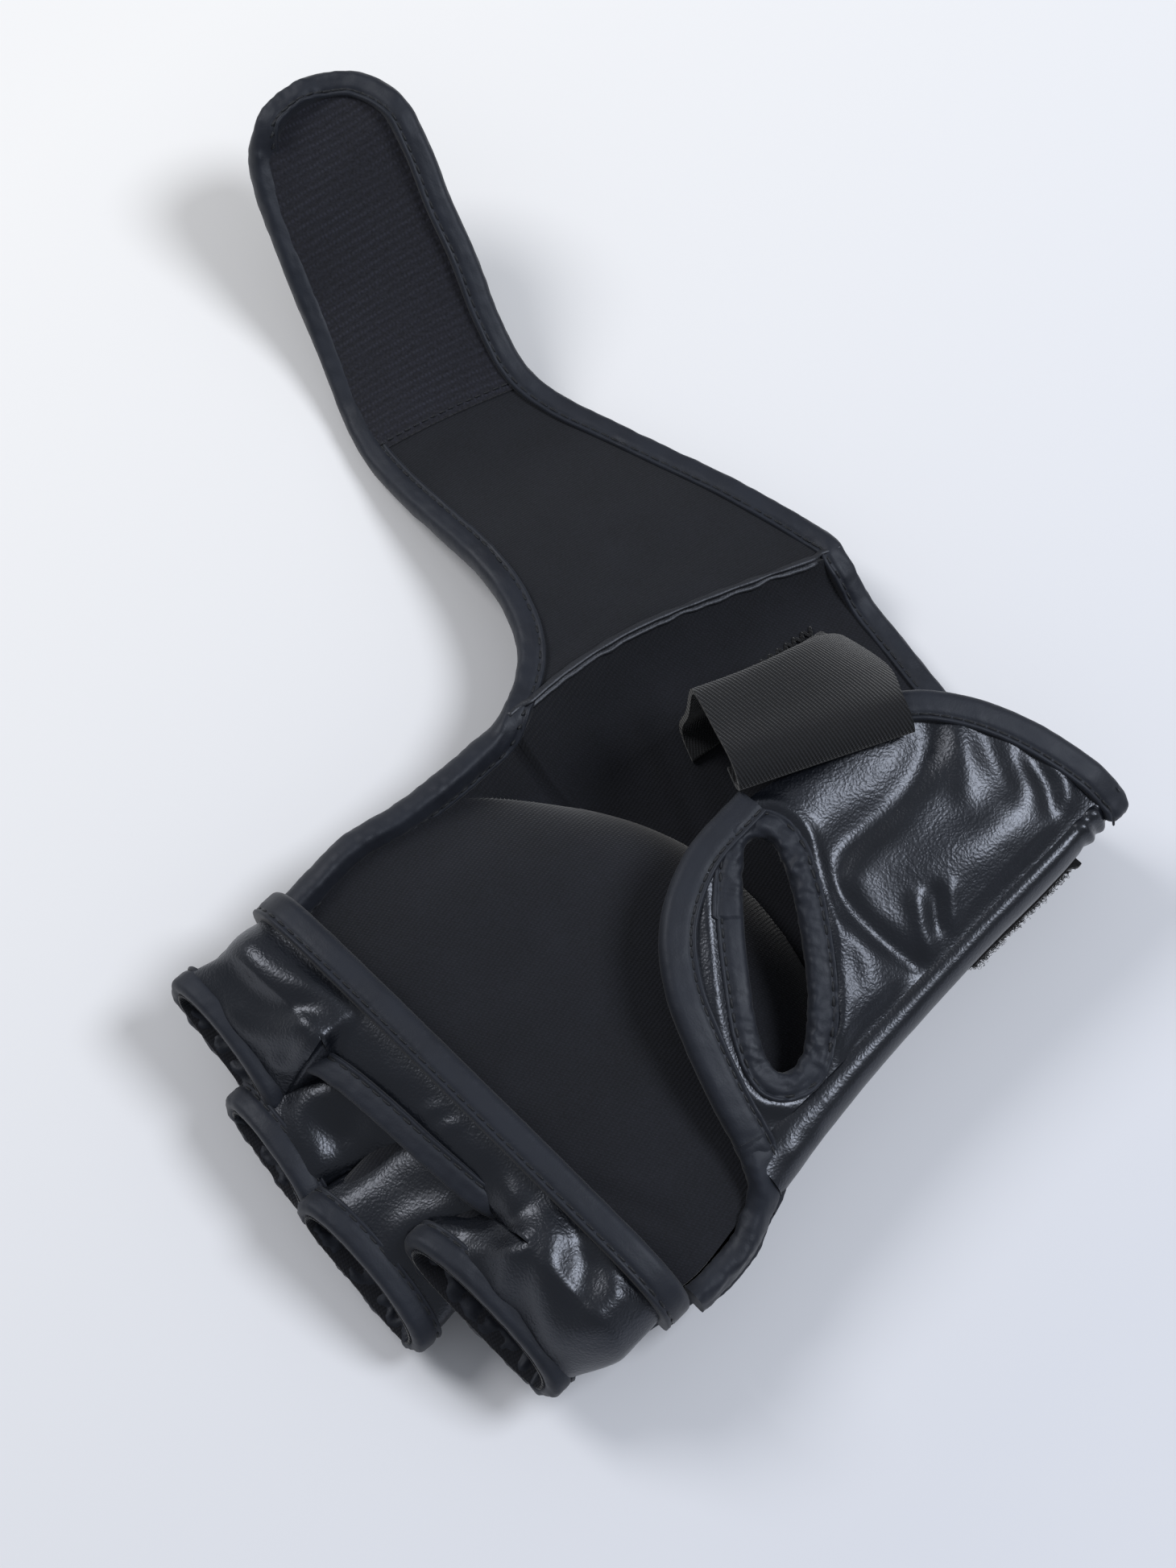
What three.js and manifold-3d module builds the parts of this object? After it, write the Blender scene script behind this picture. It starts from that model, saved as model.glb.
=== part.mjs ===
// A left mixed martial arts glove lying on the back of the hand, palm up, with its wrist strap laid out.
// Millimetres. +X points to the thumb side, +Y to the wrist, +Z up out of the palm.
// Every sewn or glued layer is a solid of its own. The hand frame starts on the table under the
// little finger's end of the palm band; the last lines move the origin under the middle of the glove.
import * as THREE from "three";
import Module from "manifold-3d";

const wasm = await Module();
wasm.setup();

// Driving sizes of the hand
const hand_width = 126;
const palm_length = 152;
const edge_height = 27;
const pad_height = 29;
const palm_height = 42;
const toe_lift = 8;

// Driving sizes of the wrist strap, the finger sleeves, the thumb hole and the elastic webbing
const strap_length = 155;
const strap_curl = 43;
const finger_length = 27;
const hole_half_length = 26.5;
const hole_half_width = 8.5;
const elastic_foot = 8;
const elastic_roll = 4;

// Sheet materials and tapes
const leather = 1.4;
const lining = 1.2;
const thin_foam = 2.0;
const patch_thickness = 1.8;
const webbing = 1.4;
const tape_width = 7;
const tape_thickness = 6.4;
const panel_tape_thickness = 5.2;
const hole_tape_width = 5;
const finger_tape_width = 5.4;
const finger_tape_bulge = 0.8;
const slit_tape_width = 4.5;
const slit_tape_thickness = 2.6;
const welt_thickness = 2;

// Clearances
const fit_gap = 0.35;
const welt_gap = 1.5;
const fold_gap = 0.45;
const side_inset = 4;
const overrun = 2;

// Facet sizes of the plates, and counts of steps along the edges
const hand_facet = 10;
const strap_facet = 11;
const panel_facet = 9;
const ulnar_steps = 14;
const welt_steps = 10;
const wrist_steps = 9;
const radial_steps = 14;
const free_edge_steps = 26;
const cuff_steps = 7;
const strap_steps = 46;
const slit_steps = 10;
const hole_steps = 26;
const arch_steps = 22;

// Derived sizes
const stack = leather + fit_gap + thin_foam + fit_gap + lining;
const half_stack = stack / 2;
const strap_spread_share = 0.59;
const strap_spread = strap_spread_share * palm_length;
const strap_rest = tape_thickness / 2 + fit_gap;
const wrist_lift = patch_thickness + 2 * fit_gap;
const tape_clear = tape_width + 2 * fit_gap;

// Small helpers
const V = (x, y, z) => new THREE.Vector3(x, y, z);
const mix = (a, b, t) => a + (b - a) * t;
const clamp01 = (t) => Math.min(1, Math.max(0, t));
const smooth = (t) => clamp01(t) ** 2 * (3 - 2 * clamp01(t));
const range = (n) => Array.from({ length: n }, (_, i) => i);

// Unit circle drawn towards a rounded box by a power below 1.
function rounded(angle, power) {
  const bent = (value) => Math.sign(value) * Math.abs(value) ** power;
  return [bent(Math.cos(angle)), bent(Math.sin(angle))];
}

// Value of a table of [place, value] rows, straight between its rows.
function along(table, place) {
  const last = table.length - 1;
  if (place <= table[0][0]) return table[0][1];
  if (place >= table[last][0]) return table[last][1];
  const i = table.findIndex((row) => row[0] > place);
  const [from, to] = [table[i - 1], table[i]];
  return mix(from[1], to[1], (place - from[0]) / (to[0] - from[0]));
}

// Smooth plan line through points, as evenly spaced points.
function plan(points, steps) {
  const line = points.map(([x, y]) => V(x, y, 0));
  return new THREE.CatmullRomCurve3(line, false, "centripetal").getSpacedPoints(steps);
}
const onHand = (shares) => shares.map(([a, b]) => [a * hand_width, b * palm_length]);

// Solids
function solidOf(points, triangles) {
  const make = (tris) =>
    new wasm.Manifold(
      new wasm.Mesh({
        numProp: 3,
        vertProperties: new Float32Array(points.flatMap((p) => [p.x, p.y, p.z])),
        triVerts: new Uint32Array(tris.flat()),
      }),
    );
  const made = make(triangles);
  return made.volume() < 0 ? make(triangles.map(([a, b, c]) => [a, c, b])) : made;
}

// The main body that is left after cuts, without loose slivers.
function cut(solid, ...tools) {
  const rest = tools.reduce((left, tool) => left.subtract(tool), solid);
  return rest.decompose().sort((a, b) => b.volume() - a.volume())[0];
}

// Closed solid between two grids of points, rows by columns.
function slab(lower, upper) {
  const rows = lower.length;
  const columns = lower[0].length;
  const top = rows * columns;
  const at = (i, j) => i * columns + j;
  const triangles = [];
  for (const i of range(rows - 1)) {
    for (const j of range(columns - 1)) {
      const [a, b, c, d] = [at(i, j), at(i, j + 1), at(i + 1, j + 1), at(i + 1, j)];
      triangles.push([a, b, c], [a, c, d]);
      triangles.push([top + a, top + c, top + b], [top + a, top + d, top + c]);
    }
  }
  const rim = [
    ...range(columns - 1).map((j) => at(0, j)),
    ...range(rows - 1).map((i) => at(i, columns - 1)),
    ...range(columns - 1).map((j) => at(rows - 1, columns - 1 - j)),
    ...range(rows - 1).map((i) => at(rows - 1 - i, 0)),
  ];
  rim.forEach((a, k) => {
    const b = rim[(k + 1) % rim.length];
    triangles.push([a, top + a, top + b], [a, top + b, b]);
  });
  return solidOf([...lower.flat(), ...upper.flat()], triangles);
}

// Solid through rings of points: a bar with flat ends, or a closed loop.
function bar(rings, loop = false) {
  const sides = rings[0].length;
  const triangles = [];
  for (const i of range(loop ? rings.length : rings.length - 1)) {
    const next = (i + 1) % rings.length;
    for (const j of range(sides)) {
      const k = (j + 1) % sides;
      const [a, b] = [i * sides + j, i * sides + k];
      const [c, d] = [next * sides + k, next * sides + j];
      triangles.push([a, b, c], [a, c, d]);
    }
  }
  if (!loop) {
    const end = (rings.length - 1) * sides;
    for (const j of range(sides - 2)) {
      triangles.push([0, j + 2, j + 1], [end, end + j + 1, end + j + 2]);
    }
  }
  return solidOf(rings.flat(), triangles);
}

// Open pipe between outer rings and inner rings.
function pipe(outer, inner) {
  return bar(
    outer[0].map((_, j) => [...outer.map((r) => r[j]), ...inner.map((r) => r[j]).reverse()]),
    true,
  );
}

// Upright prism over a plan outline, tall enough to cut anything here.
function prism(corners) {
  const tall = strap_length;
  const outline = THREE.ShapeUtils.isClockWise(corners) ? [...corners].reverse() : corners;
  const faces = THREE.ShapeUtils.triangulateShape(outline.map((p) => new THREE.Vector2(p.x, p.y)), []);
  const n = outline.length;
  const triangles = faces.flatMap(([a, b, c]) => [[a, c, b], [n + a, n + b, n + c]]);
  for (const i of range(n)) {
    const k = (i + 1) % n;
    triangles.push([i, k, n + k], [i, n + k, n + i]);
  }
  const level = (z) => outline.map((p) => V(p.x, p.y, z));
  return solidOf([...level(-tall), ...level(tall)], triangles);
}

// Plan line moved sideways to its left by a distance.
function shifted(line, distance) {
  return line.map((p, i) => {
    const from = line[Math.max(i - 1, 0)];
    const to = line[Math.min(i + 1, line.length - 1)];
    const way = to.clone().sub(from).setZ(0).normalize();
    return V(p.x - way.y * distance, p.y + way.x * distance, p.z);
  });
}

// Closed plan line, counter-clockwise, grown outward by a distance.
function grown(loop, distance) {
  const n = loop.length;
  return loop.map((p, i) => {
    const way = loop[(i + 1) % n].clone().sub(loop[(i + n - 1) % n]).normalize();
    return V(p.x + way.y * distance, p.y - way.x * distance, p.z);
  });
}

// Upright wall along a plan line, from one sideways distance to another.
function wall(line, left, right) {
  const tall = V(0, 0, strap_length);
  const [a, b] = [line.at(0), line.at(-1)];
  const before = a.clone().add(a.clone().sub(line.at(1)).setLength(overrun));
  const after = b.clone().add(b.clone().sub(line.at(-2)).setLength(overrun));
  const long = [before, ...line, after];
  const level = (way) => [left, right].map((d) => shifted(long, d).map((p) => p.addScaledVector(tall, way)));
  return slab(level(-1), level(1));
}

// Plate over a plan outline between two height functions, on facets shared by all plates of a stack.
function plate(outline, facet, low, high) {
  const xs = outline.map((p) => p.x);
  const ys = outline.map((p) => p.y);
  const lines = (values) => {
    const first = Math.floor(Math.min(...values) / facet) - 1;
    const last = Math.ceil(Math.max(...values) / facet) + 1;
    return range(last - first + 1).map((i) => (first + i) * facet);
  };
  const face = (height) => lines(ys).map((y) => lines(xs).map((x) => V(x, y, height(x, y))));
  return slab(face(low), face(high)).intersect(prism(outline));
}

// Tape round an edge: a rounded bar whose outer side lies on a line, on a surface's middle.
const tape_profile_shares = [
  [0, 0.28],
  [-0.22, 0.5],
  [-1, 0.42],
  [-1, -0.42],
  [-0.22, -0.5],
  [0, -0.28],
];
function tape(line, normals, width, thickness, side, loop = false) {
  const n = line.length;
  const rings = line.map((p, i) => {
    const from = line[loop ? (i + n - 1) % n : Math.max(i - 1, 0)];
    const to = line[loop ? (i + 1) % n : Math.min(i + 1, n - 1)];
    const way = to.clone().sub(from).normalize();
    const out = way.clone().cross(normals[i]).normalize().multiplyScalar(side);
    const up = way.clone().cross(out).normalize();
    if (up.dot(normals[i]) < 0) up.negate();
    return tape_profile_shares.map(([a, b]) =>
      p.clone().addScaledVector(out, a * width).addScaledVector(up, b * thickness),
    );
  });
  return bar(rings, loop);
}

// Normals and heights of a height function along a plan line.
const slope_step = leather;
function lift(line, height) {
  return line.map((p) => V(p.x, p.y, height(p.x, p.y)));
}
function normalsOn(line, height) {
  return line.map(({ x, y }) =>
    V(
      height(x - slope_step, y) - height(x + slope_step, y),
      height(x, y - slope_step) - height(x, y + slope_step),
      2 * slope_step,
    ).normalize(),
  );
}
const edgeTape = (line, height, width, thickness, side, loop) =>
  tape(lift(line, height), normalsOn(line, height), width, thickness, side, loop);

// Sheet of even thickness over a grid of points, between two distances along its normals.
function sheet(points, low, high) {
  const [last_row, last_column] = [points.length - 1, points[0].length - 1];
  const normals = points.map((row, i) =>
    row.map((_, j) => {
      const down = points[Math.min(i + 1, last_row)][j].clone().sub(points[Math.max(i - 1, 0)][j]);
      const across = row[Math.min(j + 1, last_column)].clone().sub(row[Math.max(j - 1, 0)]);
      return down.cross(across).normalize();
    }),
  );
  const moved = (d) => points.map((row, i) => row.map((p, j) => p.clone().addScaledVector(normals[i][j], d)));
  return slab(moved(low), moved(high));
}

// Plan lines of the hand, as shares of hand_width and palm_length
const band_end_share = -0.112;
const ulnar_shares = [
  [-0.008, -0.112],
  [0.0, 0.03],
  [0.0, 0.13],
  [0.02, 0.21],
  [0.03, 0.3],
  [0.026, 0.39],
  [0.012, 0.428],
];
const welt_shares = [
  [0.043, 0.428],
  [0.04, 0.546],
  [0.06, 0.67],
  [0.1, 0.78],
  [0.152, 0.9],
  [0.209, 1.025],
];
const wrist_shares = [
  [0.209, 1.033],
  [0.378, 1.012],
  [0.579, 0.982],
  [0.786, 0.972],
  [0.905, 0.99],
];
const radial_shares = [
  [1.0, -0.112],
  [1.008, 0.0],
  [0.992, 0.125],
  [0.968, 0.243],
  [0.944, 0.408],
  [0.929, 0.658],
  [0.929, 0.836],
  [0.915, 0.985],
];
const free_edge_shares = [
  [0.458, 0.557],
  [0.471, 0.436],
  [0.531, 0.334],
  [0.617, 0.272],
  [0.706, 0.237],
  [0.81, 0.207],
  [0.902, 0.186],
  [0.96, 0.161],
  [0.99, 0.12],
  [1.0, 0.07],
  [0.998, 0.01],
];
const cuff_shares = [
  [0.551, 0.841],
  [0.603, 0.881],
  [0.679, 0.919],
  [0.764, 0.949],
  [0.838, 0.975],
  [0.905, 0.99],
];
const seam_share = 0.903;

const ulnar = plan(onHand(ulnar_shares), ulnar_steps);
const welt = plan(onHand(welt_shares), welt_steps);
const wrist = plan(onHand(wrist_shares), wrist_steps);
const radial = plan(onHand(radial_shares), radial_steps);
const free_edge = plan(onHand(free_edge_shares), free_edge_steps);
const cuff = plan(onHand(cuff_shares), cuff_steps);
const seam_x = seam_share * hand_width;
const band_end = band_end_share * palm_length;

// Plan lines of the strap: shares of strap_length from the welt and of strap_spread, then the
// share of the root's height that is left and the share of strap_curl that is reached
const lower_edge_shares = [
  [0.041, 0.07, 0.94, 0],
  [0.085, 0.171, 0.86, 0],
  [0.157, 0.242, 0.75, 0],
  [0.244, 0.282, 0.6, 0],
  [0.346, 0.3, 0.37, 0],
  [0.452, 0.317, 0.14, 0],
  [0.534, 0.341, 0, 0],
  [0.605, 0.38, 0, 0],
  [0.72, 0.463, 0, 0.11],
  [0.845, 0.542, 0, 0.37],
  [0.961, 0.632, 0, 0.67],
  [0.992, 0.689, 0, 0.8],
];
const tip_corner_shares = [
  [0.998, 0.76],
  [0.99, 0.835],
  [0.96, 0.913],
  [0.921, 0.988],
];
const upper_edge_shares = [
  [-0.111, 1.037, 0.95, 0],
  [0.051, 0.988, 0.75, 0],
  [0.194, 0.929, 0.54, 0],
  [0.295, 0.887, 0.44, 0],
  [0.381, 0.847, 0.4, 0.02],
  [0.456, 0.834, 0.3, 0.1],
  [0.539, 0.869, 0.16, 0.28],
  [0.628, 0.928, 0.05, 0.5],
  [0.703, 0.964, 0, 0.67],
  [0.781, 1.01, 0, 0.83],
  [0.855, 1.03, 0, 0.95],
];
const hook_line_shares = [
  [0.5245, 0.405],
  [0.431, 0.793],
];
const upper_root_drop_share = 0.37;

const strap_x = welt[0].x;
const strap_y = welt[0].y;
const onStrap = (shares) =>
  shares.map(([a, b]) => [strap_x - a * strap_length, strap_y + b * strap_spread]);
const strap_edge = plan(
  [
    ...onHand(ulnar_shares.slice(-1)),
    ...onStrap([...lower_edge_shares, ...tip_corner_shares, ...[...upper_edge_shares].reverse()]),
    ...onHand(wrist_shares.slice(0, 1)),
  ],
  strap_steps,
);

// Middle height of the wrist strap's sheets over the table
const lowerEdge = onStrap(lower_edge_shares).map(([x, y]) => [-x, y]);
const upperEdge = onStrap(upper_edge_shares).map(([x, y]) => [-x, y]);
const columnOf = (shares, k) => shares.map((row) => [row[0], row[k]]);
function strapHeight(x, y) {
  const s = (strap_x - x) / strap_length;
  const [low_y, high_y] = [along(lowerEdge, -x), along(upperEdge, -x)];
  const t = clamp01((y - low_y) / (high_y - low_y));
  const root = edge_height * ulnar_height_shares.at(-2)[1] - strap_rest;
  const edge = (shares, drop) =>
    strap_rest + root * drop * along(columnOf(shares, 2), s) + strap_curl * along(columnOf(shares, 3), s);
  return mix(edge([[0, 0, 1, 0], ...lower_edge_shares], 1), edge(upper_edge_shares, 1 - upper_root_drop_share), t);
}

// Middle height of the hand's back: flat where the glove rests, turned up at both sides
const ulnar_height_shares = [
  [-0.112, 0.93],
  [0.03, 0.98],
  [0.13, 1],
  [0.3, 1],
  [0.39, 0.95],
  [0.428, 0.88],
  [1.03, 0.5],
];
const radial_height_shares = [
  [-0.112, 0.72],
  [0.2, 0.68],
  [0.6, 0.68],
  [1, 0.74],
];
const loop_patch_shares = [
  [0.5, 0.66],
  [0.5, 0.89],
  [0.905, 0.9],
  [0.912, 0.66],
];
const middle_share = 0.47;
const rest_share = 0.34;
const side_power = 3;
const side_limit_share = 1.2;
const toe_start_share = 0.11;
const toe_power = 1.5;
const wrist_start_share = 0.52;
const wrist_end_share = 0.66;

const leftEdge = [...ulnar, ...welt].map((p) => [p.y, p.x]);
const rightEdge = radial.map((p) => [p.y, p.x]);
function handHeight(x, y) {
  const down = y / palm_length;
  const middle = middle_share * hand_width;
  const left = x < middle;
  const edge_x = along(left ? leftEdge : rightEdge, y);
  const t = (middle - x) / (middle - edge_x);
  const side = Math.max(0, (t - rest_share) / (1 - rest_share)) ** side_power;
  const edge = edge_height * along(left ? ulnar_height_shares : radial_height_shares, down);
  const toe_share = clamp01((toe_start_share - down) / (toe_start_share - band_end_share));
  const toe = toe_lift * toe_share ** toe_power;
  const heel = wrist_lift * smooth((down - wrist_start_share) / (wrist_end_share - wrist_start_share));
  const base = half_stack + toe + heel;
  return base + (edge - base) * Math.min(side, side_limit_share);
}

// Top of the lining: the dome of the knuckle pad, falling to the thin wrist
const dome_x_share = 0.53;
const dome_y_share = 0.11;
const dome_width_share = 0.505;
const dome_wrist_share = 0.37;
const dome_finger_share = 0.33;
const dome_power = 5;
const dome_sag_share = 0.12;
function liningTop(x, y) {
  const base = handHeight(x, y) + half_stack;
  const dx = (x / hand_width - dome_x_share) / dome_width_share;
  const down = y / palm_length - dome_y_share;
  const out = Math.hypot(dx, down / (down > 0 ? dome_wrist_share : dome_finger_share));
  const crown = pad_height * (1 - dome_sag_share * out * out);
  return base + Math.max(0, crown - base) * Math.sqrt(Math.max(0, 1 - out ** dome_power));
}

// Thumb hole in the thumb panel, and the strip and the tape beside the panel's seam
const hole_centre_shares = [0.716, 0.418];
const hole_roundness_share = 0.93;
const side_rows = 12;
const side_end_share = 1.3;
const side_turn_steps = 4;
const side_lift_share = 0.29;

// Palm band's arch across the hand: shares of hand_width and of palm_height
const band_arch_shares = [
  [-0.012, 0.52],
  [-0.022, 0.64],
  [-0.016, 0.76],
  [0.016, 0.857],
  [0.11, 0.92],
  [0.31, 0.95],
  [0.55, 0.96],
  [0.79, 0.95],
  [0.93, 0.917],
  [0.99, 0.83],
  [1.016, 0.71],
  [1.012, 0.52],
];
const band_columns = 2;

// Finger sleeves: middle x, y and z, half width and half height, then how far the rim slants and
// tilts, as shares of hand_width, finger_length and palm_height
const sleeve_shares = {
  little: {
    base_shares: [0.123, 0, 0.6, 0.122, 0.28, 0, 0],
    end_shares: [0.111, -0.5, 0.51, 0.125, 0.17, -0.13, -0.06],
  },
  ring: {
    base_shares: [0.375, 0, 0.57, 0.119, 0.29, 0, 0],
    end_shares: [0.361, -0.9, 0.43, 0.108, 0.17, -0.09, -0.035],
  },
  middle: {
    base_shares: [0.627, 0, 0.57, 0.12, 0.29, 0, 0],
    end_shares: [0.595, -1, 0.44, 0.116, 0.17, -0.13, -0.06],
  },
  index: {
    base_shares: [0.883, 0, 0.6, 0.121, 0.29, 0, 0],
    end_shares: [0.842, -0.62, 0.6, 0.112, 0.19, -0.13, -0.06],
  },
};
const sleeve_sides = 16;
const sleeve_rings = 4;
const sleeve_roundness_share = 0.8;
const sleeve_ease = 1.6;
const slit_shares = [
  [0.27, -0.125],
  [0.46, -0.125],
  [0.64, -0.125],
];

// Height of a finger sleeve's crest above a place along it
const fingers_start = band_end - fold_gap;
const easeOf = (t) => 1 - (1 - t) ** sleeve_ease;
function sleeveCrest({ base_shares, end_shares }, y) {
  const t = clamp01((y - fingers_start) / (end_shares[1] * finger_length));
  const crestOf = (shares) => (shares[2] + shares[4]) * palm_height;
  return mix(crestOf(base_shares), crestOf(end_shares), easeOf(t));
}

// Elastic webbing: plan lines where it leaves the lining, folds over and rolls down
const elastic_root_shares = [
  [0.235, 0.6375],
  [0.305, 0.901],
];
const elastic_crest_shares = [
  [0.274, 0.63],
  [0.356, 0.845],
];
const elastic_crest_height_shares = [1.05, 0.95];
const elastic_roll_shares = [
  [0.48, 0.565],
  [0.592, 0.8],
];
const elastic_rows = 5;
const elastic_steps = 15;

// Middle height of the thumb panel
const panel_fall_share = 0.405;
const panel_power = 1.9;
const panel_swell = 2.4;
function panelHeight(x, y) {
  const left = free_edge_shares[0][0] * hand_width;
  const t = Math.max(0, (x - left) / (hand_width - left));
  const swell = smooth((y / palm_length - free_edge_shares[1][1]) / free_edge_shares[1][1]) * smooth(t / seam_share);
  return palm_height * (1 - panel_fall_share * t ** panel_power) + panel_swell * swell;
}

const pieces = [];
function add(name, finish, solid) {
  pieces.push({ name, finish, solid });
}
const bottomOf = (height) => (x, y) => height(x, y) - half_stack;
const topOf = (height) => (x, y) => height(x, y) + half_stack;
const raised = (height, distance) => (x, y) => height(x, y) + distance;

// Borders between the bodies: the welt, the hook patch's first row and the thumb panel's side seam
const far = 2 * strap_length;
const beyond_wrist = V(welt.at(-1).x, strap_y + far, 0);
const strap_side = prism([V(-far, strap_y, 0), ...welt, beyond_wrist, V(-far, strap_y + far, 0)]);
const strap_border = wall([V(-far, strap_y, 0), V(strap_x, strap_y, 0)], welt_gap, -welt_gap)
  .add(wall([...welt, beyond_wrist], welt_gap, -welt_gap));
const [hook_lower, hook_upper] = onStrap(hook_line_shares).map(([x, y]) => V(x, y, 0));
const hook_way = hook_upper.clone().sub(hook_lower).normalize();
const hook_line = [
  hook_lower.clone().addScaledVector(hook_way, -strap_length),
  hook_upper.clone().addScaledVector(hook_way, strap_length),
];
const tip_side = wall(hook_line, far, 0);
const hook_border = wall(hook_line, fold_gap, -fold_gap);
const seam_line = [V(seam_x, -far, 0), V(seam_x, far, 0)];

// Hand back: leather, pads, lining, and the fastener patch under the wrist
function makeHandBack() {
  const outline = [...ulnar, ...welt.slice(1), ...wrist.slice(1), ...[...radial].reverse()];
  const band_part = ulnar.filter((p) => p.y < tape_width);
  const clear = [
    wall(ulnar.filter((p) => p.y > 0), overrun, -tape_clear),
    wall(band_part, overrun, -side_inset),
    wall(wrist, overrun, -tape_clear),
    wall(radial, side_inset, -overrun),
    strap_side,
    strap_border,
  ];
  const layer = (low, high, ...more) => cut(plate(outline, hand_facet, low, high), ...clear, ...more);
  const under = bottomOf(handHeight);
  const foamLow = raised(under, leather + fit_gap);
  const foamHigh = raised(liningTop, -lining - fit_gap);
  const split_y = wrist_start_share * palm_length;
  const split = [V(-far, split_y, 0), V(far, split_y, 0)];
  add("back_shell", "leather", layer(under, raised(under, leather)));
  add("knuckle_pad", "foam", layer(foamLow, foamHigh, wall(split, far, -fit_gap)));
  add("wrist_pad", "foam", layer(foamLow, foamHigh, wall(split, fit_gap, -far)));
  add("hand_lining", "knit", layer(raised(liningTop, -lining), liningTop));
  const patch = onHand(loop_patch_shares).map(([x, y]) => V(x, y, 0));
  const patch_top = raised(under, -fit_gap);
  add("loop_patch", "loop", plate(patch, hand_facet, raised(patch_top, -patch_thickness), patch_top));
}

// Tapes round the little finger side and the wrist end, and the piping in the strap's seam
function makeHandTapes() {
  const under_band = wall([V(-far, 2 * fit_gap, 0), V(far, 2 * fit_gap, 0)], 0, -far);
  const round = (line) => edgeTape(line, handHeight, tape_width, tape_thickness, -1);
  add("ulnar_binding", "tape", cut(round(ulnar), under_band, strap_border, strap_side));
  add("wrist_binding", "tape", cut(round(wrist), strap_border, strap_side));
  const half_width = welt_gap - fit_gap;
  const line = shifted(welt, -half_width).slice(1, -1);
  add("strap_welt", "welt", edgeTape(line, topOf(handHeight), 2 * half_width, welt_thickness, 1));
}

// Wrist strap: a half next to the hand and a tip half, which fold where the hook patch starts
function makeStrap() {
  const outline = [...strap_edge, welt[0]];
  const edge_wall = wall(strap_edge, overrun, -tape_clear);
  const layer = (low, high, ...tools) =>
    cut(plate(outline, strap_facet, low, high), edge_wall, strap_border, hook_border, ...tools);
  const hand_side = wall([...welt, beyond_wrist], 0, -far);
  const under = bottomOf(strapHeight);
  const foam = [raised(under, leather + fit_gap), raised(topOf(strapHeight), -lining - fit_gap)];
  const face = [raised(topOf(strapHeight), -lining), topOf(strapHeight)];
  for (const [half, tools] of [["root", [tip_side, hand_side]], ["tip", [wall(hook_line, 0, -far)]]]) {
    add(`strap_${half}_shell`, "leather", layer(under, raised(under, leather), ...tools));
    add(`strap_${half}_foam`, "foam", layer(...foam, ...tools));
    if (half === "root") add("strap_root_lining", "knit", layer(...face, ...tools));
    else add("hook_patch", "hook", layer(...face, ...tools));
  }
  const round = edgeTape(strap_edge, strapHeight, tape_width, tape_thickness, -1)
    .subtract(strap_border)
    .subtract(hook_border)
    .subtract(hand_side);
  const parts = round.decompose().filter((part) => part.volume() > tape_width ** 3);
  const byX = (a, b) => a.boundingBox().min[0] - b.boundingBox().min[0];
  const [tip, ...root] = parts.sort(byX);
  const byY = (a, b) => a.boundingBox().min[1] - b.boundingBox().min[1];
  const [lower, upper] = root.sort(byY);
  add("strap_tip_binding", "tape", tip);
  add("strap_lower_binding", "tape", lower);
  add("strap_upper_binding", "tape", upper);
}

// Thumb panel with its hole, and the leather strip that joins it to the hand back
function makeThumbPanel() {
  const seam_end = free_edge.findIndex((p) => p.x > seam_x);
  const outline = [
    ...free_edge.slice(0, seam_end),
    V(seam_x, free_edge[seam_end].y, 0),
    ...[...cuff].reverse(),
  ];
  const [[cx, cy]] = onHand([hole_centre_shares]);
  const rim = range(hole_steps).map((i) => {
    const [c, s] = rounded((2 * Math.PI * i) / hole_steps, hole_roundness_share);
    const [u, v] = [hole_half_length * c, hole_half_width * s];
    return V(cx + (u + v) * Math.SQRT1_2, cy + (v - u) * Math.SQRT1_2, 0);
  });
  const clear = [
    wall(free_edge, tape_clear, -overrun),
    wall(cuff, overrun, -tape_clear),
    wall(seam_line, fold_gap, -far),
    prism(grown(rim, hole_tape_width + 2 * fit_gap)),
  ];
  const layer = (low, high) => cut(plate(outline, panel_facet, low, high), ...clear);
  add("thumb_panel", "leather", layer(panelHeight, raised(panelHeight, leather)));
  add("thumb_panel_lining", "knit", layer(raised(panelHeight, -fit_gap - lining), raised(panelHeight, -fit_gap)));
  add("thumb_hole_binding", "tape", edgeTape(rim, panelHeight, hole_tape_width, panel_tape_thickness, -1, true));
  const round = (line, side) => edgeTape(line, panelHeight, tape_width, panel_tape_thickness, side);
  add("palm_edge_binding", "tape", cut(round(free_edge, 1), wall(seam_line, fold_gap, -far)));
  const side_line = lift(free_edge.slice(seam_end - 1), raised(panelHeight, side_lift_share * panel_tape_thickness));
  const turned = normalsOn(side_line, panelHeight).map((normal, i) =>
    normal.lerp(V(1, 0, 0), clamp01(i / side_turn_steps)).normalize(),
  );
  const side_tape = tape(side_line, turned, tape_width, panel_tape_thickness, 1);
  add("side_binding", "tape", cut(side_tape, wall(seam_line, far, -fold_gap)));
  add("cuff_binding", "tape", cut(round(cuff, -1), wall(seam_line, fold_gap, -far)));
  const rows = range(side_rows + 1).map((i) => {
    const inset = side_end_share * tape_width;
    const y = mix(free_edge[seam_end].y + inset, wrist.at(-1).y - inset, i / side_rows);
    const edge_x = along(rightEdge, y);
    const low = V(edge_x - fit_gap, y, handHeight(edge_x, y) - half_stack);
    const high = V(seam_x + fold_gap + leather, y, panelHeight(seam_x, y));
    const middle = low.clone().add(high).divideScalar(2).add(V(leather / 2, 0, 0));
    return [low, middle, high];
  });
  add("radial_side_panel", "leather", sheet(rows, -leather / 2, leather / 2));
}

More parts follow.
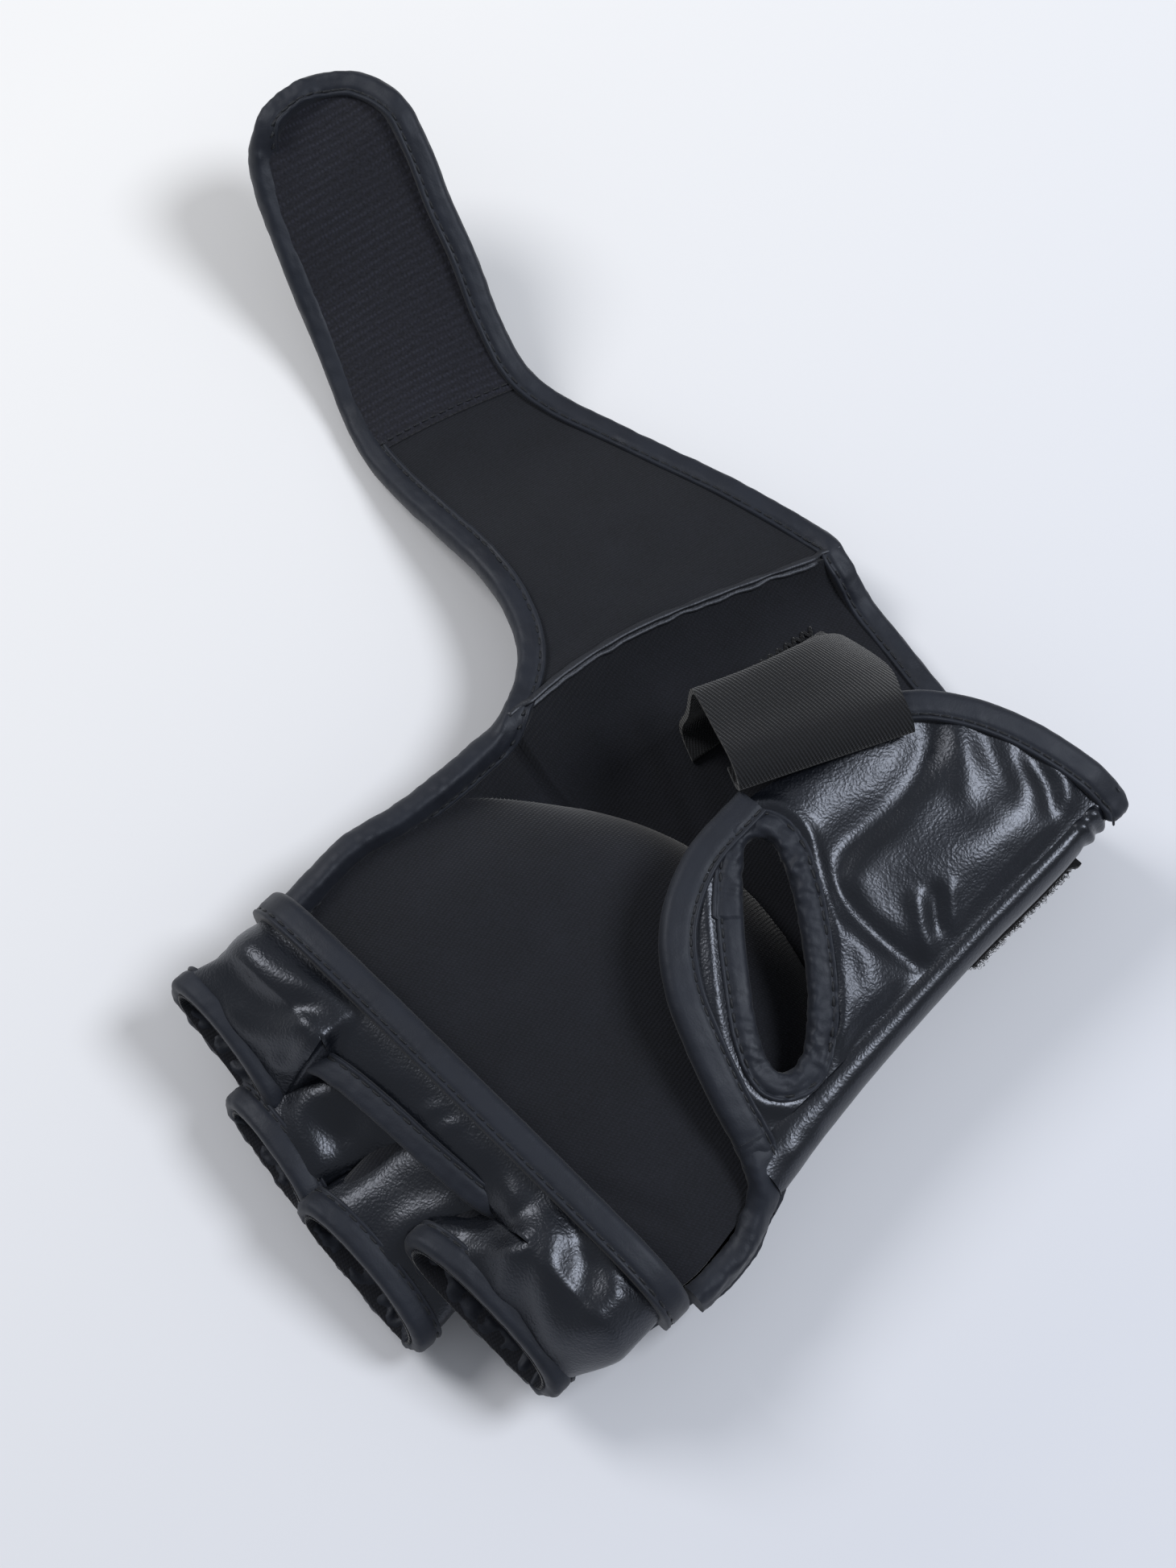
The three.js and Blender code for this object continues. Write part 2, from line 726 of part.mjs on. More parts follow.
// Palm band: an arch of leather and lining over the palm, with a taped edge
function makePalmBand() {
  const points = band_arch_shares.map(([a, b]) => V(a * hand_width, 0, b * palm_height));
  const arch = new THREE.CatmullRomCurve3(points, false, "centripetal");
  const stations = arch.getSpacedPoints(arch_steps);
  const band_rows = (from, to) =>
    stations.map((p) => range(band_columns + 1).map((k) => p.clone().setY(mix(from, to, k / band_columns))));
  const rows = band_rows(band_end + fold_gap, -tape_clear);
  add("palm_band", "leather", sheet(rows, 0, leather));
  add("palm_band_lining", "knit", sheet(rows, -fit_gap - lining, -fit_gap));
  const normals = stations.map((_, i) => {
    const way = arch.getTangentAt(i / arch_steps);
    return V(-way.z, 0, way.x);
  });
  add("palm_band_binding", "tape", tape(stations, normals, tape_width, panel_tape_thickness, -1));
}

// Finger sleeves: a leather tube, its lining and a taped end for each finger
function makeSleeves() {
  const rowOf = ([x, y, z, a, b, slant, tilt]) => ({
    at: V(x * hand_width, y * finger_length, z * palm_height),
    a: a * hand_width,
    b: b * palm_height,
    slant: slant * finger_length,
    tilt: tilt * palm_height,
  });
  for (const [name, { base_shares, end_shares }] of Object.entries(sleeve_shares)) {
    const [base, end] = [rowOf(base_shares), rowOf(end_shares)];
    const ring = (t, grow, back = 0) =>
      range(sleeve_sides).map((j) => {
        const [c, s] = rounded((2 * Math.PI * j) / sleeve_sides, sleeve_roundness_share);
        const e = easeOf(t);
        return V(
          mix(base.at.x, end.at.x, t) + (mix(base.a, end.a, t) + grow) * c,
          mix(fingers_start, fingers_start + end.at.y + back, t) + mix(0, end.slant, t) * c,
          mix(base.at.z, end.at.z, e) + mix(0, end.tilt, t) * c + (mix(base.b, end.b, e) + grow) * s,
        );
      });
    const steps = range(sleeve_rings).map((i) => i / (sleeve_rings - 1));
    const back = finger_tape_width + fit_gap;
    const rings = (grow) => steps.map((t) => ring(t, grow, back));
    const tubeOf = (outer, inner) => pipe(rings(outer), rings(inner));
    const inside = -leather - 2 * fit_gap;
    add(`${name}_sleeve`, "leather", tubeOf(0, -leather));
    add(`${name}_sleeve_lining`, "knit", tubeOf(inside, inside - lining));
    const rim = (grow) => [ring(1, grow, back - fit_gap), ring(1, grow, 0)];
    add(`${name}_end_binding`, "tape", pipe(rim(finger_tape_bulge), rim(inside - lining)));
  }
  const slit = plan(onHand(slit_shares), slit_steps);
  const slit_seat = fit_gap + slit_tape_thickness / 2;
  const slitHeight = (x, y) => sleeveCrest(sleeve_shares.middle, y) + slit_seat;
  add("slit_binding", "tape", edgeTape(slit, slitHeight, slit_tape_width, slit_tape_thickness, -1));
}

// Elastic webbing from the wrist lining up and over onto the thumb panel
function makeElastic() {
  const rows = range(elastic_rows + 1).map((i) => {
    const t = i / elastic_rows;
    const at = ([[ax, ay], [bx, by]]) => V(mix(ax, bx, t) * hand_width, mix(ay, by, t) * palm_length, 0);
    const root = at(elastic_root_shares);
    root.z = liningTop(root.x, root.y) + fit_gap + webbing;
    const foot = root.clone().add(V(elastic_foot, 0, 0));
    foot.z = liningTop(foot.x, foot.y) + fit_gap + webbing;
    const crest = at(elastic_crest_shares);
    crest.z = palm_height * mix(...elastic_crest_height_shares, t);
    const roll = at(elastic_roll_shares);
    roll.z = panelHeight(roll.x, roll.y) + leather + elastic_roll;
    const end = roll.clone().add(V(elastic_roll, 0, 0));
    end.z = panelHeight(end.x, end.y) + leather + fit_gap + webbing;
    const bulge = root.clone().lerp(crest, 0.5).add(V(-elastic_roll, 0, 0));
    const over = crest.clone().lerp(roll, 0.5).add(V(0, 0, elastic_roll / 2));
    const line = new THREE.CatmullRomCurve3([foot, root, bulge, crest, over, roll, end], false, "centripetal");
    return line.getSpacedPoints(elastic_steps);
  });
  add("elastic_strap", "elastic", sheet(rows, -webbing / 2, webbing / 2));
}

makeHandBack();
makeHandTapes();
makeStrap();
makeThumbPanel();
makePalmBand();
makeSleeves();
makeElastic();

const finishes = {
  leather: [0x23252b, 0.35],
  tape: [0x2b2e35, 0.6],
  knit: [0x1b1d22, 0.95],
  foam: [0x2e2e30, 0.95],
  elastic: [0x24262a, 0.9],
  hook: [0x1a1c22, 0.85],
  loop: [0x131417, 1.0],
  welt: [0x4a4b4d, 0.4],
};

const group = new THREE.Group();
for (const { name, finish, solid } of pieces) {
  const { vertProperties, triVerts } = solid.getMesh();
  const geometry = new THREE.BufferGeometry();
  geometry.setAttribute("position", new THREE.BufferAttribute(vertProperties, 3));
  geometry.setIndex(new THREE.BufferAttribute(triVerts, 1));
  const [color, roughness] = finishes[finish];
  const mesh = new THREE.Mesh(geometry, new THREE.MeshStandardMaterial({ color, roughness, metalness: 0 }));
  mesh.name = name;
  group.add(mesh);
}

// The origin moves to the table under the middle of the glove
const box = new THREE.Box3().setFromObject(group);
const middle = box.getCenter(V(0, 0, 0));
group.position.set(-middle.x, -middle.y, -box.min.z);

export default group;
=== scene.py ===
# A mixed martial arts glove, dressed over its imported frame: leather, tapes, knit, webbing, fasteners.
# Places and sizes are millimetres in the hand's frame: its origin is on the table under the little
# finger's end of the palm band, +X points to the thumb side, +Y to the wrist, +Z up out of the palm.
import math

import bmesh
import bpy
import numpy as np
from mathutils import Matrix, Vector


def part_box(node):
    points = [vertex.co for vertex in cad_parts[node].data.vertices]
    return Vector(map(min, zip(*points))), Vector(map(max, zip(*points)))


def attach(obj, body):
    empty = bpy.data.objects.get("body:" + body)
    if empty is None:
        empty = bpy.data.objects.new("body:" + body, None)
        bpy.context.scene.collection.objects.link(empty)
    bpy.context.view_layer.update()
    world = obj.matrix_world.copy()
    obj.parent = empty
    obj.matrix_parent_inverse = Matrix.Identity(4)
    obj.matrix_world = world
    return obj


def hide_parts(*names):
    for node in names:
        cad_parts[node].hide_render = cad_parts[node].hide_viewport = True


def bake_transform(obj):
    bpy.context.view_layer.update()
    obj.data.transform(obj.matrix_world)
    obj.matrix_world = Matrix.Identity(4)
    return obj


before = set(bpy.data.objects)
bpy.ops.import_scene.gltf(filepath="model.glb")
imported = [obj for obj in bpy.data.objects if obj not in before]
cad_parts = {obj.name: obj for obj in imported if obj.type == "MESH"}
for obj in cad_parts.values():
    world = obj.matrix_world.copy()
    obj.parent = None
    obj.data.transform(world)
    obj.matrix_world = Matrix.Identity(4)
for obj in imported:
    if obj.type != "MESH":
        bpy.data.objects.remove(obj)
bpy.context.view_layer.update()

# Sizes of the hand, the strap and the sheets, as the frame has them
mm = 0.001
hand_width = 126
palm_length = 152
edge_height = 27
pad_height = 29
palm_height = 42
elastic_width = 38
toe_lift = 8
strap_length = 155
strap_spread = 0.59 * palm_length
strap_curl = 43
leather = 1.4
sewn_leather = 1.3
lining = 1.2
thin_lining = 0.9
sleeve_lining = 0.8
webbing = 1.3
half_stack = 2.65
strap_rest = 3.55
wrist_lift = 2.5

# Width and thickness of each folded tape
tape_sizes = {
    "rim": (6.8, 6.4), "thumb_hole": (6.4, 5.0), "palm_edge": (8.2, 5.4), "side": (8.2, 5.6),
    "cuff": (7.8, 5.4), "palm_band": (7.6, 5.4), "slit": (6.2, 3.2), "sleeve_end": (6.4, 4.2),
}

# The hand frame's place in the row frame
slit_start_share = 0.27
slit_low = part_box("slit_binding")[0]
band_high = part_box("palm_band_binding")[1]
hand_origin = np.array([slit_low.x / mm - slit_start_share * hand_width, band_high.y / mm, 0.0])

# Camera and light
camera_azimuth = 45
camera_elevation = 68
camera_lens = 60
camera_sensor = 36
camera_distance = 590
camera_target = (29, 67, 28)


def place(points):
    """Points of the hand frame, in the row frame's metres."""
    return (np.asarray(points, float) + hand_origin) * mm


def spot(x, y, z):
    """One point of the hand frame, in the row frame's metres."""
    return Vector(place((x, y, z)))


def added(name, data):
    """A new object in the scene."""
    item = bpy.data.objects.new(name, data)
    bpy.context.scene.collection.objects.link(item)
    return item


def aim(item, azimuth, elevation, distance):
    """Puts a camera or a light some metres from the target, at angles in degrees, and turns it there."""
    a, e = math.radians(azimuth), math.radians(elevation)
    way = Vector((math.sin(a) * math.cos(e), -math.cos(a) * math.cos(e), math.sin(e)))
    item.location = spot(*camera_target) + way * distance
    item.rotation_mode = "QUATERNION"
    item.rotation_quaternion = (-way).to_track_quat("-Z", "Y")


def make_camera():
    data = bpy.data.cameras.new("camera")
    data.lens = camera_lens
    data.sensor_width = camera_sensor
    data.clip_start = 0.01
    data.clip_end = 20
    camera = added("camera", data)
    aim(camera, camera_azimuth, camera_elevation, camera_distance * mm)
    bpy.context.scene.camera = camera


# Number helpers
def mix(a, b, t):
    return a + (b - a) * t


def clamp(t):
    return np.clip(t, 0, 1)


def smooth(t):
    return clamp(t) ** 2 * (3 - 2 * clamp(t))


def unit(v):
    return v / np.maximum(np.linalg.norm(v, axis=-1, keepdims=True), 1e-9)


def points_at(x, y, z):
    return np.stack(np.broadcast_arrays(x, y, z), -1)


def upward(normals):
    return normals * np.sign(normals[..., 2:])


def table(rows):
    a = np.array(rows, float)
    return lambda place: np.interp(place, a[:, 0], a[:, 1])


def run_of(line):
    """How far along a line each of its points lies."""
    return np.concatenate([[0], np.cumsum(np.linalg.norm(np.diff(line, axis=0), axis=1))])


def read_at(places, run, values):
    """Values at places along a line, from the values at its points."""
    return np.stack([np.interp(places, run, values[:, k]) for k in range(values.shape[1])], 1)


def spaced(line, count, closed=False):
    """Evenly spaced points on a line of points."""
    run = run_of(line)
    return read_at(np.linspace(0, run[-1], count + closed)[:count], run, line)


def nearest(line, point):
    return int(np.argmin(np.linalg.norm(line - np.array(point), axis=1)))


def ripples(seed, wavelength, count=14):
    """Seeded soft noise about one wavelength, as a function of points, mostly between -1 and 1."""
    random = np.random.default_rng(seed)
    ways = unit(random.normal(size=(count, 3)))
    waves = ways * (2 * math.pi / (wavelength * random.uniform(0.7, 1.5, (count, 1))))
    phases = random.uniform(0, 2 * math.pi, count)
    return lambda points: np.sin(np.asarray(points) @ waves.T + phases).sum(-1) * math.sqrt(2 / count) / 2


def smooth_line(points, count, closed=False):
    """Evenly spaced points on a smooth line through points."""
    p = np.array(points, float)
    if closed:
        p = np.vstack([p[-2:], p, p[:3]])
    gaps = np.maximum(np.linalg.norm(np.diff(p, axis=0), axis=1), 1e-6) ** 0.5
    slopes = np.diff(p, axis=0) / gaps[:, None]
    m = np.empty_like(p)
    m[1:-1] = (slopes[:-1] * gaps[1:, None] + slopes[1:] * gaps[:-1, None]) / (gaps[1:] + gaps[:-1])[:, None]
    m[0], m[-1] = slopes[0], slopes[-1]
    dense = 24
    parts = []
    spans = range(2, len(p) - 3) if closed else range(len(p) - 1)
    for i in spans:
        s = np.linspace(0, 1, dense, endpoint=False)[:, None]
        h = gaps[i]
        parts.append(
            (2 * s**3 - 3 * s**2 + 1) * p[i] + (s**3 - 2 * s**2 + s) * h * m[i]
            + (3 * s**2 - 2 * s**3) * p[i + 1] + (s**3 - s**2) * h * m[i + 1]
        )
    line = np.vstack([*parts, p[2] if closed else p[-1]])
    return spaced(line, count, closed)


def soft_table(rows, column):
    """A table that turns softly through its rows."""
    line = smooth_line([(row[0], row[column]) for row in rows], 200)
    places = np.maximum.accumulate(line[:, 0] + np.arange(len(line)) * 1e-9)
    return lambda place: np.interp(place, places, line[:, 1])


def length_of(line):
    return np.linalg.norm(np.diff(line, axis=0), axis=1).sum()


def tangents(line, closed=False):
    if closed:
        return unit(np.roll(line, -1, 0) - np.roll(line, 1, 0))
    return unit(np.gradient(line, axis=0))


def inset(line, distance):
    """A plan line moved to its left."""
    way = tangents(line[:, :2])
    side = np.stack([-way[:, 1], way[:, 0]], 1) * distance
    return np.hstack([line[:, :2] + side, line[:, 2:]])


# Plan lines as shares of the hand's width and length, as the frame has them
def on_hand(shares):
    return [(a * hand_width, b * palm_length) for a, b in shares]


ulnar_shares = [
    (0.014, -0.112), (0.01, -0.04), (0.004, 0.03), (0, 0.13), (0.02, 0.21), (0.03, 0.3), (0.026, 0.39),
    (0.012, 0.428),
]
welt_shares = [(0.043, 0.428), (0.04, 0.546), (0.06, 0.67), (0.1, 0.78), (0.152, 0.9), (0.209, 1.025)]
wrist_shares = [(0.209, 1.033), (0.378, 1.012), (0.579, 0.982), (0.786, 0.972), (0.905, 0.99)]
radial_shares = [
    (0.968, -0.112), (0.985, -0.04), (1.002, 0.03), (0.992, 0.125), (0.968, 0.243), (0.944, 0.408),
    (0.929, 0.658), (0.929, 0.836), (0.915, 0.985),
]
free_edge_shares = [
    (0.458, 0.557), (0.471, 0.436), (0.531, 0.334), (0.617, 0.272), (0.706, 0.237), (0.81, 0.207),
    (0.902, 0.186), (0.96, 0.161), (0.99, 0.12), (1.0, 0.07), (0.998, 0.01),
]
cuff_shares = [
    (0.516, 0.828), (0.548, 0.862), (0.59, 0.892), (0.642, 0.92), (0.705, 0.945), (0.78, 0.966), (0.85, 0.98),
    (0.905, 0.986),
]
hole_shares = [
    (0.536, 0.505), (0.545, 0.532), (0.58, 0.535), (0.643, 0.51), (0.714, 0.47), (0.786, 0.421),
    (0.836, 0.374), (0.857, 0.336), (0.841, 0.309), (0.788, 0.322), (0.698, 0.375), (0.615, 0.434),
    (0.556, 0.485),
]
lower_edge_shares = [
    (0.041, 0.07, 0.94, 0), (0.085, 0.171, 0.86, 0), (0.157, 0.242, 0.75, 0), (0.244, 0.282, 0.6, 0),
    (0.346, 0.3, 0.37, 0), (0.452, 0.317, 0.14, 0), (0.534, 0.341, 0, 0), (0.605, 0.38, 0, 0),
    (0.72, 0.463, 0, 0.11), (0.845, 0.542, 0, 0.37), (0.961, 0.632, 0, 0.67), (0.992, 0.689, 0, 0.8),
]
tip_corner_shares = [(1.008, 0.765), (1.006, 0.85), (0.986, 0.94), (0.938, 1.02)]
upper_edge_shares = [
    (-0.111, 1.037, 0.95, 0), (0.051, 0.988, 0.75, 0), (0.194, 0.929, 0.54, 0), (0.295, 0.887, 0.44, 0),
    (0.381, 0.847, 0.4, 0.02), (0.456, 0.834, 0.3, 0.1), (0.539, 0.869, 0.16, 0.28),
    (0.628, 0.928, 0.05, 0.5), (0.703, 0.968, 0, 0.67), (0.781, 1.018, 0, 0.83), (0.86, 1.047, 0, 0.95),
]
ulnar_height_shares = [
    (-0.112, 0.93), (0.03, 0.98), (0.13, 1), (0.3, 1), (0.39, 0.95), (0.428, 0.88), (1.03, 0.5),
]
radial_height_shares = [(-0.112, 0.72), (0.2, 0.68), (0.6, 0.68), (1, 0.74)]
band_arch_shares = [
    (0.012, 0.52), (0.008, 0.64), (0.018, 0.76), (0.05, 0.86), (0.14, 0.925), (0.31, 0.95), (0.55, 0.96),
    (0.78, 0.95), (0.905, 0.917), (0.965, 0.83), (0.988, 0.71), (0.985, 0.52),
]

ulnar = smooth_line(on_hand(ulnar_shares), 120)
welt = smooth_line(on_hand(welt_shares), 120)
wrist = smooth_line(on_hand(wrist_shares), 120)
radial = smooth_line(on_hand(radial_shares), 160)
free_edge = smooth_line(on_hand(free_edge_shares), 220)
cuff = smooth_line(on_hand(cuff_shares), 80)
seam_x = 0.903 * hand_width
strap_x, strap_y = welt[0]


def on_strap(shares):
    return [(strap_x - s[0] * strap_length, strap_y + s[1] * strap_spread) for s in shares]


hook_line_shares = [(0.5245, 0.405), (0.431, 0.793)]
strap_cut = 14

perimeter = smooth_line([
    *on_hand(ulnar_shares), *on_strap(lower_edge_shares), *on_strap(tip_corner_shares),
    *on_strap(upper_edge_shares[::-1]), *on_hand(wrist_shares),
], 1300)
hook_line = np.array(on_strap(hook_line_shares))
hook_way = unit(hook_line[1] - hook_line[0])
cut_line = hook_line + strap_cut * np.array([hook_way[1], -hook_way[0]])
lower_welt, upper_welt = nearest(perimeter, welt[0]), nearest(perimeter, welt[-1])
cut_low, cut_high = nearest(perimeter, cut_line[0]), nearest(perimeter, cut_line[1])
hook_low, hook_high = nearest(perimeter, hook_line[0]), nearest(perimeter, hook_line[1])
tip_middle = nearest(perimeter, on_strap([(1.008, 0.84)])[0])


# Height functions
left_line = np.vstack([ulnar, welt])
left_line = left_line[np.argsort(left_line[:, 1])]


def left_x(y):
    return np.interp(y, left_line[:, 1], left_line[:, 0])


def right_x(y):
    return np.interp(y, radial[:, 1], radial[:, 0])


def hand_height(x, y):
    """Middle of the back's sheets: flat where the glove rests, turned up at both sides."""
    down = y / palm_length
    middle = 0.47 * hand_width
    left = x < middle
    edge_x = np.where(left, left_x(y), right_x(y))
    t = (middle - x) / (middle - edge_x)
    side = np.maximum(0, (t - 0.34) / 0.66) ** 3
    edge = edge_height * np.where(left, table(ulnar_height_shares)(down), table(radial_height_shares)(down))
    toe = toe_lift * clamp((0.11 - down) / 0.222) ** 1.5
    heel = wrist_lift * smooth((down - 0.52) / 0.14)
    base = half_stack + toe + heel
    return base + (edge - base) * np.minimum(side, 1.2)


def lining_top(x, y):
    """Top of the knit lining: the dome of the knuckle pad, falling to the thin wrist."""
    base = hand_height(x, y) + half_stack
    dx = (x / hand_width - 0.53) / 0.52
    down = y / palm_length - 0.11
    out = np.hypot(dx, down / np.where(down > 0, 0.415, 0.33))
    crown = pad_height * (1 - 0.12 * out**2)
    return base + np.maximum(0, crown - base) * np.sqrt(np.maximum(0, 1 - out**6))


strap_low = np.array([(-a, b) for a, b in on_strap(lower_edge_shares)])
strap_high = np.array([(-a, b) for a, b in on_strap(upper_edge_shares)])
strap_rows_low = [(0, 0, 1, 0), *lower_edge_shares]
low_drop, low_curl = soft_table(strap_rows_low, 2), soft_table(strap_rows_low, 3)
high_drop, high_curl = soft_table(upper_edge_shares, 2), soft_table(upper_edge_shares, 3)


def strap_level(x, y):
    """Middle of the wrist strap's sheets, before it is led onto the edge of the hand."""
    along = (strap_x - x) / strap_length
    low_y = np.interp(-x, strap_low[:, 0], strap_low[:, 1])
    high_y = np.interp(-x, strap_high[:, 0], strap_high[:, 1])
    t = clamp((y - low_y) / (high_y - low_y))
    root = edge_height * ulnar_height_shares[-2][1] - strap_rest
    low = strap_rest + root * low_drop(along) + strap_curl * low_curl(along)
    high = strap_rest + 0.63 * root * high_drop(along) + strap_curl * high_curl(along)
    return mix(low, high, t)


def strap_height(x, y):
    """Middle of the wrist strap's sheets, level with the hand at the welt."""
    edge = left_x(y)
    rise = edge_height * table(ulnar_height_shares)(y / palm_length) - strap_level(edge, y)
    return strap_level(x, y) + rise * np.exp(-((np.maximum(0, edge - x) / 22) ** 2))


def panel_height(x, y):
    """Middle of the thumb panel."""
    left = free_edge_shares[0][0] * hand_width
    t = np.maximum(0, (x - left) / (hand_width - left))
    start = free_edge_shares[1][1]
    swell = smooth((y / palm_length - start) / start) * smooth(t / 0.903)
    return palm_height * (1 - 0.405 * t**1.9) + 2.4 * swell


def lifted(line, height):
    return np.column_stack([line[:, 0], line[:, 1], height(line[:, 0], line[:, 1])])


def evened(values, reach=10):
    """Running mean over the values near each one."""
    count = 2 * reach + 1
    return np.convolve(np.pad(values, reach, mode="edge"), np.ones(count) / count, "valid")


def perimeter_frames():
    """The rim line round the hand and the strap, and which way is up on it."""
    x, y = perimeter[:, 0], perimeter[:, 1]
    place_on = np.arange(len(perimeter))
    hand = 1 - smooth((place_on - lower_welt) / 36 + 0.5) + smooth((place_on - upper_welt) / 36 + 0.5)
    height = evened(mix(strap_height(x, y), hand_height(x, y), hand))
    up = mix(normals_on(perimeter, strap_height), normals_on(perimeter, hand_height), hand[:, None])
    return np.column_stack([perimeter, height]), unit(np.stack([evened(up[:, k]) for k in range(3)], 1))


def normals_on(line, height, step=0.7):
    x, y = line[:, 0], line[:, 1]
    across, along = height(x - step, y) - height(x + step, y), height(x, y - step) - height(x, y + step)
    return unit(np.column_stack([across, along, np.full(len(x), 2 * step)]))


# Mesh makers
def make_mesh(name, points, faces, finish, flat=None):
    """A smooth mesh object from points of the hand frame. flat holds each point's place on the cloth."""
    data = bpy.data.meshes.new(name)
    data.from_pydata([tuple(p) for p in place(points)], [], faces)
    data.validate()
    data.polygons.foreach_set("use_smooth", [True] * len(data.polygons))
    data.set_sharp_from_angle(angle=math.radians(72))
    attribute = data.attributes.new("flat", "FLOAT_VECTOR", "POINT")
    coordinates = place(points) if flat is None else np.asarray(flat, float) * mm
    attribute.data.foreach_set("vector", coordinates.astype(np.float32).ravel())
    data.materials.append(finishes[finish])
    return added(name, data)


def fix_normals(piece, weld=None):
    """Turns all faces outward, after points closer than weld are joined."""
    work = bmesh.new()
    work.from_mesh(piece.data)
    if weld:
        bmesh.ops.remove_doubles(work, verts=work.verts, dist=weld * mm)
    bmesh.ops.recalc_face_normals(work, faces=work.faces)
    work.to_mesh(piece.data)
    work.free()


def grid_faces(rows, columns, wrap_rows=False, wrap_columns=False, start=0, flip=False):
    i = np.arange(rows if wrap_rows else rows - 1)
    j = np.arange(columns if wrap_columns else columns - 1)
    i, j = (a.ravel() for a in np.meshgrid(i, j, indexing="ij"))
    k, m = (i + 1) % rows, (j + 1) % columns
    quads = np.stack([i * columns + j, i * columns + m, k * columns + m, k * columns + j], 1) + start
    return (quads[:, ::-1] if flip else quads).tolist()


def tube_faces(rows, sides, start=0, flip=False):
    """Faces of rings of points, with an end on the first and on the last."""
    first = list(range(start, start + sides))
    last = [v + (rows - 1) * sides for v in first]
    ends = [first, last[::-1]] if flip else [first[::-1], last]
    return grid_faces(rows, sides, wrap_columns=True, start=start, flip=flip) + ends


def grid_normals(points):
    return unit(np.cross(np.gradient(points, axis=1), np.gradient(points, axis=0)))


def grid_flat(points):
    """Places on the cloth from lengths along the rows and the columns."""
    across = np.linalg.norm(np.diff(points, axis=1), axis=-1)
    down = np.linalg.norm(np.diff(points, axis=0), axis=-1)
    u = np.concatenate([np.zeros((points.shape[0], 1)), np.cumsum(across, 1)], 1)
    v = np.concatenate([np.zeros((1, points.shape[1])), np.cumsum(down, 0)], 0)
    return np.stack([u, v, np.zeros_like(u)], -1)


def make_shell(name, high, low, finish, flat=None):
    """Closed mesh between two grids of points."""
    rows, columns = high.shape[:2]
    count = rows * columns
    faces = grid_faces(rows, columns) + grid_faces(rows, columns, start=count, flip=True)
    ring = [*range(columns), *range(2 * columns - 1, count, columns)]
    ring += [*range(count - 2, count - columns - 1, -1), *range(count - 2 * columns, 0, -columns)]
    faces += [[a, b, b + count, a + count] for a, b in zip(ring, ring[1:] + ring[:1])]
    piece = make_mesh(name, np.vstack([high.reshape(-1, 3), low.reshape(-1, 3)]), faces, finish, flat)
    fix_normals(piece)
    return piece


def make_sleeve(name, grid, finish):
    """Open tube through rings of points."""
    faces = grid_faces(*grid.shape[:2], wrap_columns=True)
    piece = make_mesh(name, grid.reshape(-1, 3), faces, finish, grid_flat(grid).reshape(-1, 3))
    fix_normals(piece)
    return piece


def make_sheet(name, top, thickness, finish, normals=None, keep=None, by_plan=False):
    """Closed sheet below a grid of points. keep says which cells stay, by_plan lays its pattern in plan."""
    rows, columns = top.shape[:2]
    if normals is None:
        normals = grid_normals(top)
    if normals[..., 2].mean() < 0:
        normals = -normals
    low = top - normals * thickness
    turned = (np.cross(np.gradient(top, axis=1), np.gradient(top, axis=0)) * normals).sum() < 0
    count = rows * columns
    upper = grid_faces(rows, columns, flip=turned)
    lower = grid_faces(rows, columns, start=count, flip=not turned)
    if keep is not None:
        upper, lower = ([face for face, stays in zip(side, keep.ravel()) if stays] for side in (upper, lower))
    edges = dict.fromkeys(edge for face in upper for edge in zip(face, face[1:] + face[:1]))
    rim = [[b, a, a + count, b + count] for a, b in edges if (b, a) not in edges]
    flat = (top * (1, 1, 0) if by_plan else grid_flat(top)).reshape(-1, 3)
    used = np.zeros(2 * count, bool)
    used[np.unique(upper + lower)] = True
    faces = (np.cumsum(used) - 1)[np.array(upper + lower + rim)].tolist()
    points = np.vstack([top.reshape(-1, 3), low.reshape(-1, 3)])
    return make_mesh(name, points[used], faces, finish, np.vstack([flat, flat])[used])


def tape_profile(width, thickness, lip=1.4):
    """Half section of a folded tape: across from the rim, and up. It ends in a groove and a lip."""
    w, h = width, thickness / 2
    turn = np.radians(np.linspace(0, 90, 7))
    bulge = 0.3 * w
    rounded = np.column_stack([-bulge * (1 - np.cos(turn) ** 0.8), h * np.sin(turn)])
    shoulder = w - lip
    flat_part = [(-mix(bulge, shoulder - 1.2, t), h) for t in (0.35, 0.7, 1.0)]
    edge = [
        (-(shoulder - 0.5), h - 0.16), (-shoulder, h - 0.5), (-(shoulder + 0.35), h - 0.3),
        (-(shoulder + 0.75), h - 0.02), (-(w - 0.2), h - 0.18), (-w, h - 0.75),
    ]
    return np.vstack([rounded, flat_part, edge])


def frames_along(line, normals, side, closed):
    way = tangents(line, closed)
    out = unit(np.cross(way, normals)) * side
    up = unit(np.cross(way, out))
    up *= np.sign((up * normals).sum(1, keepdims=True))
    return way, out, up


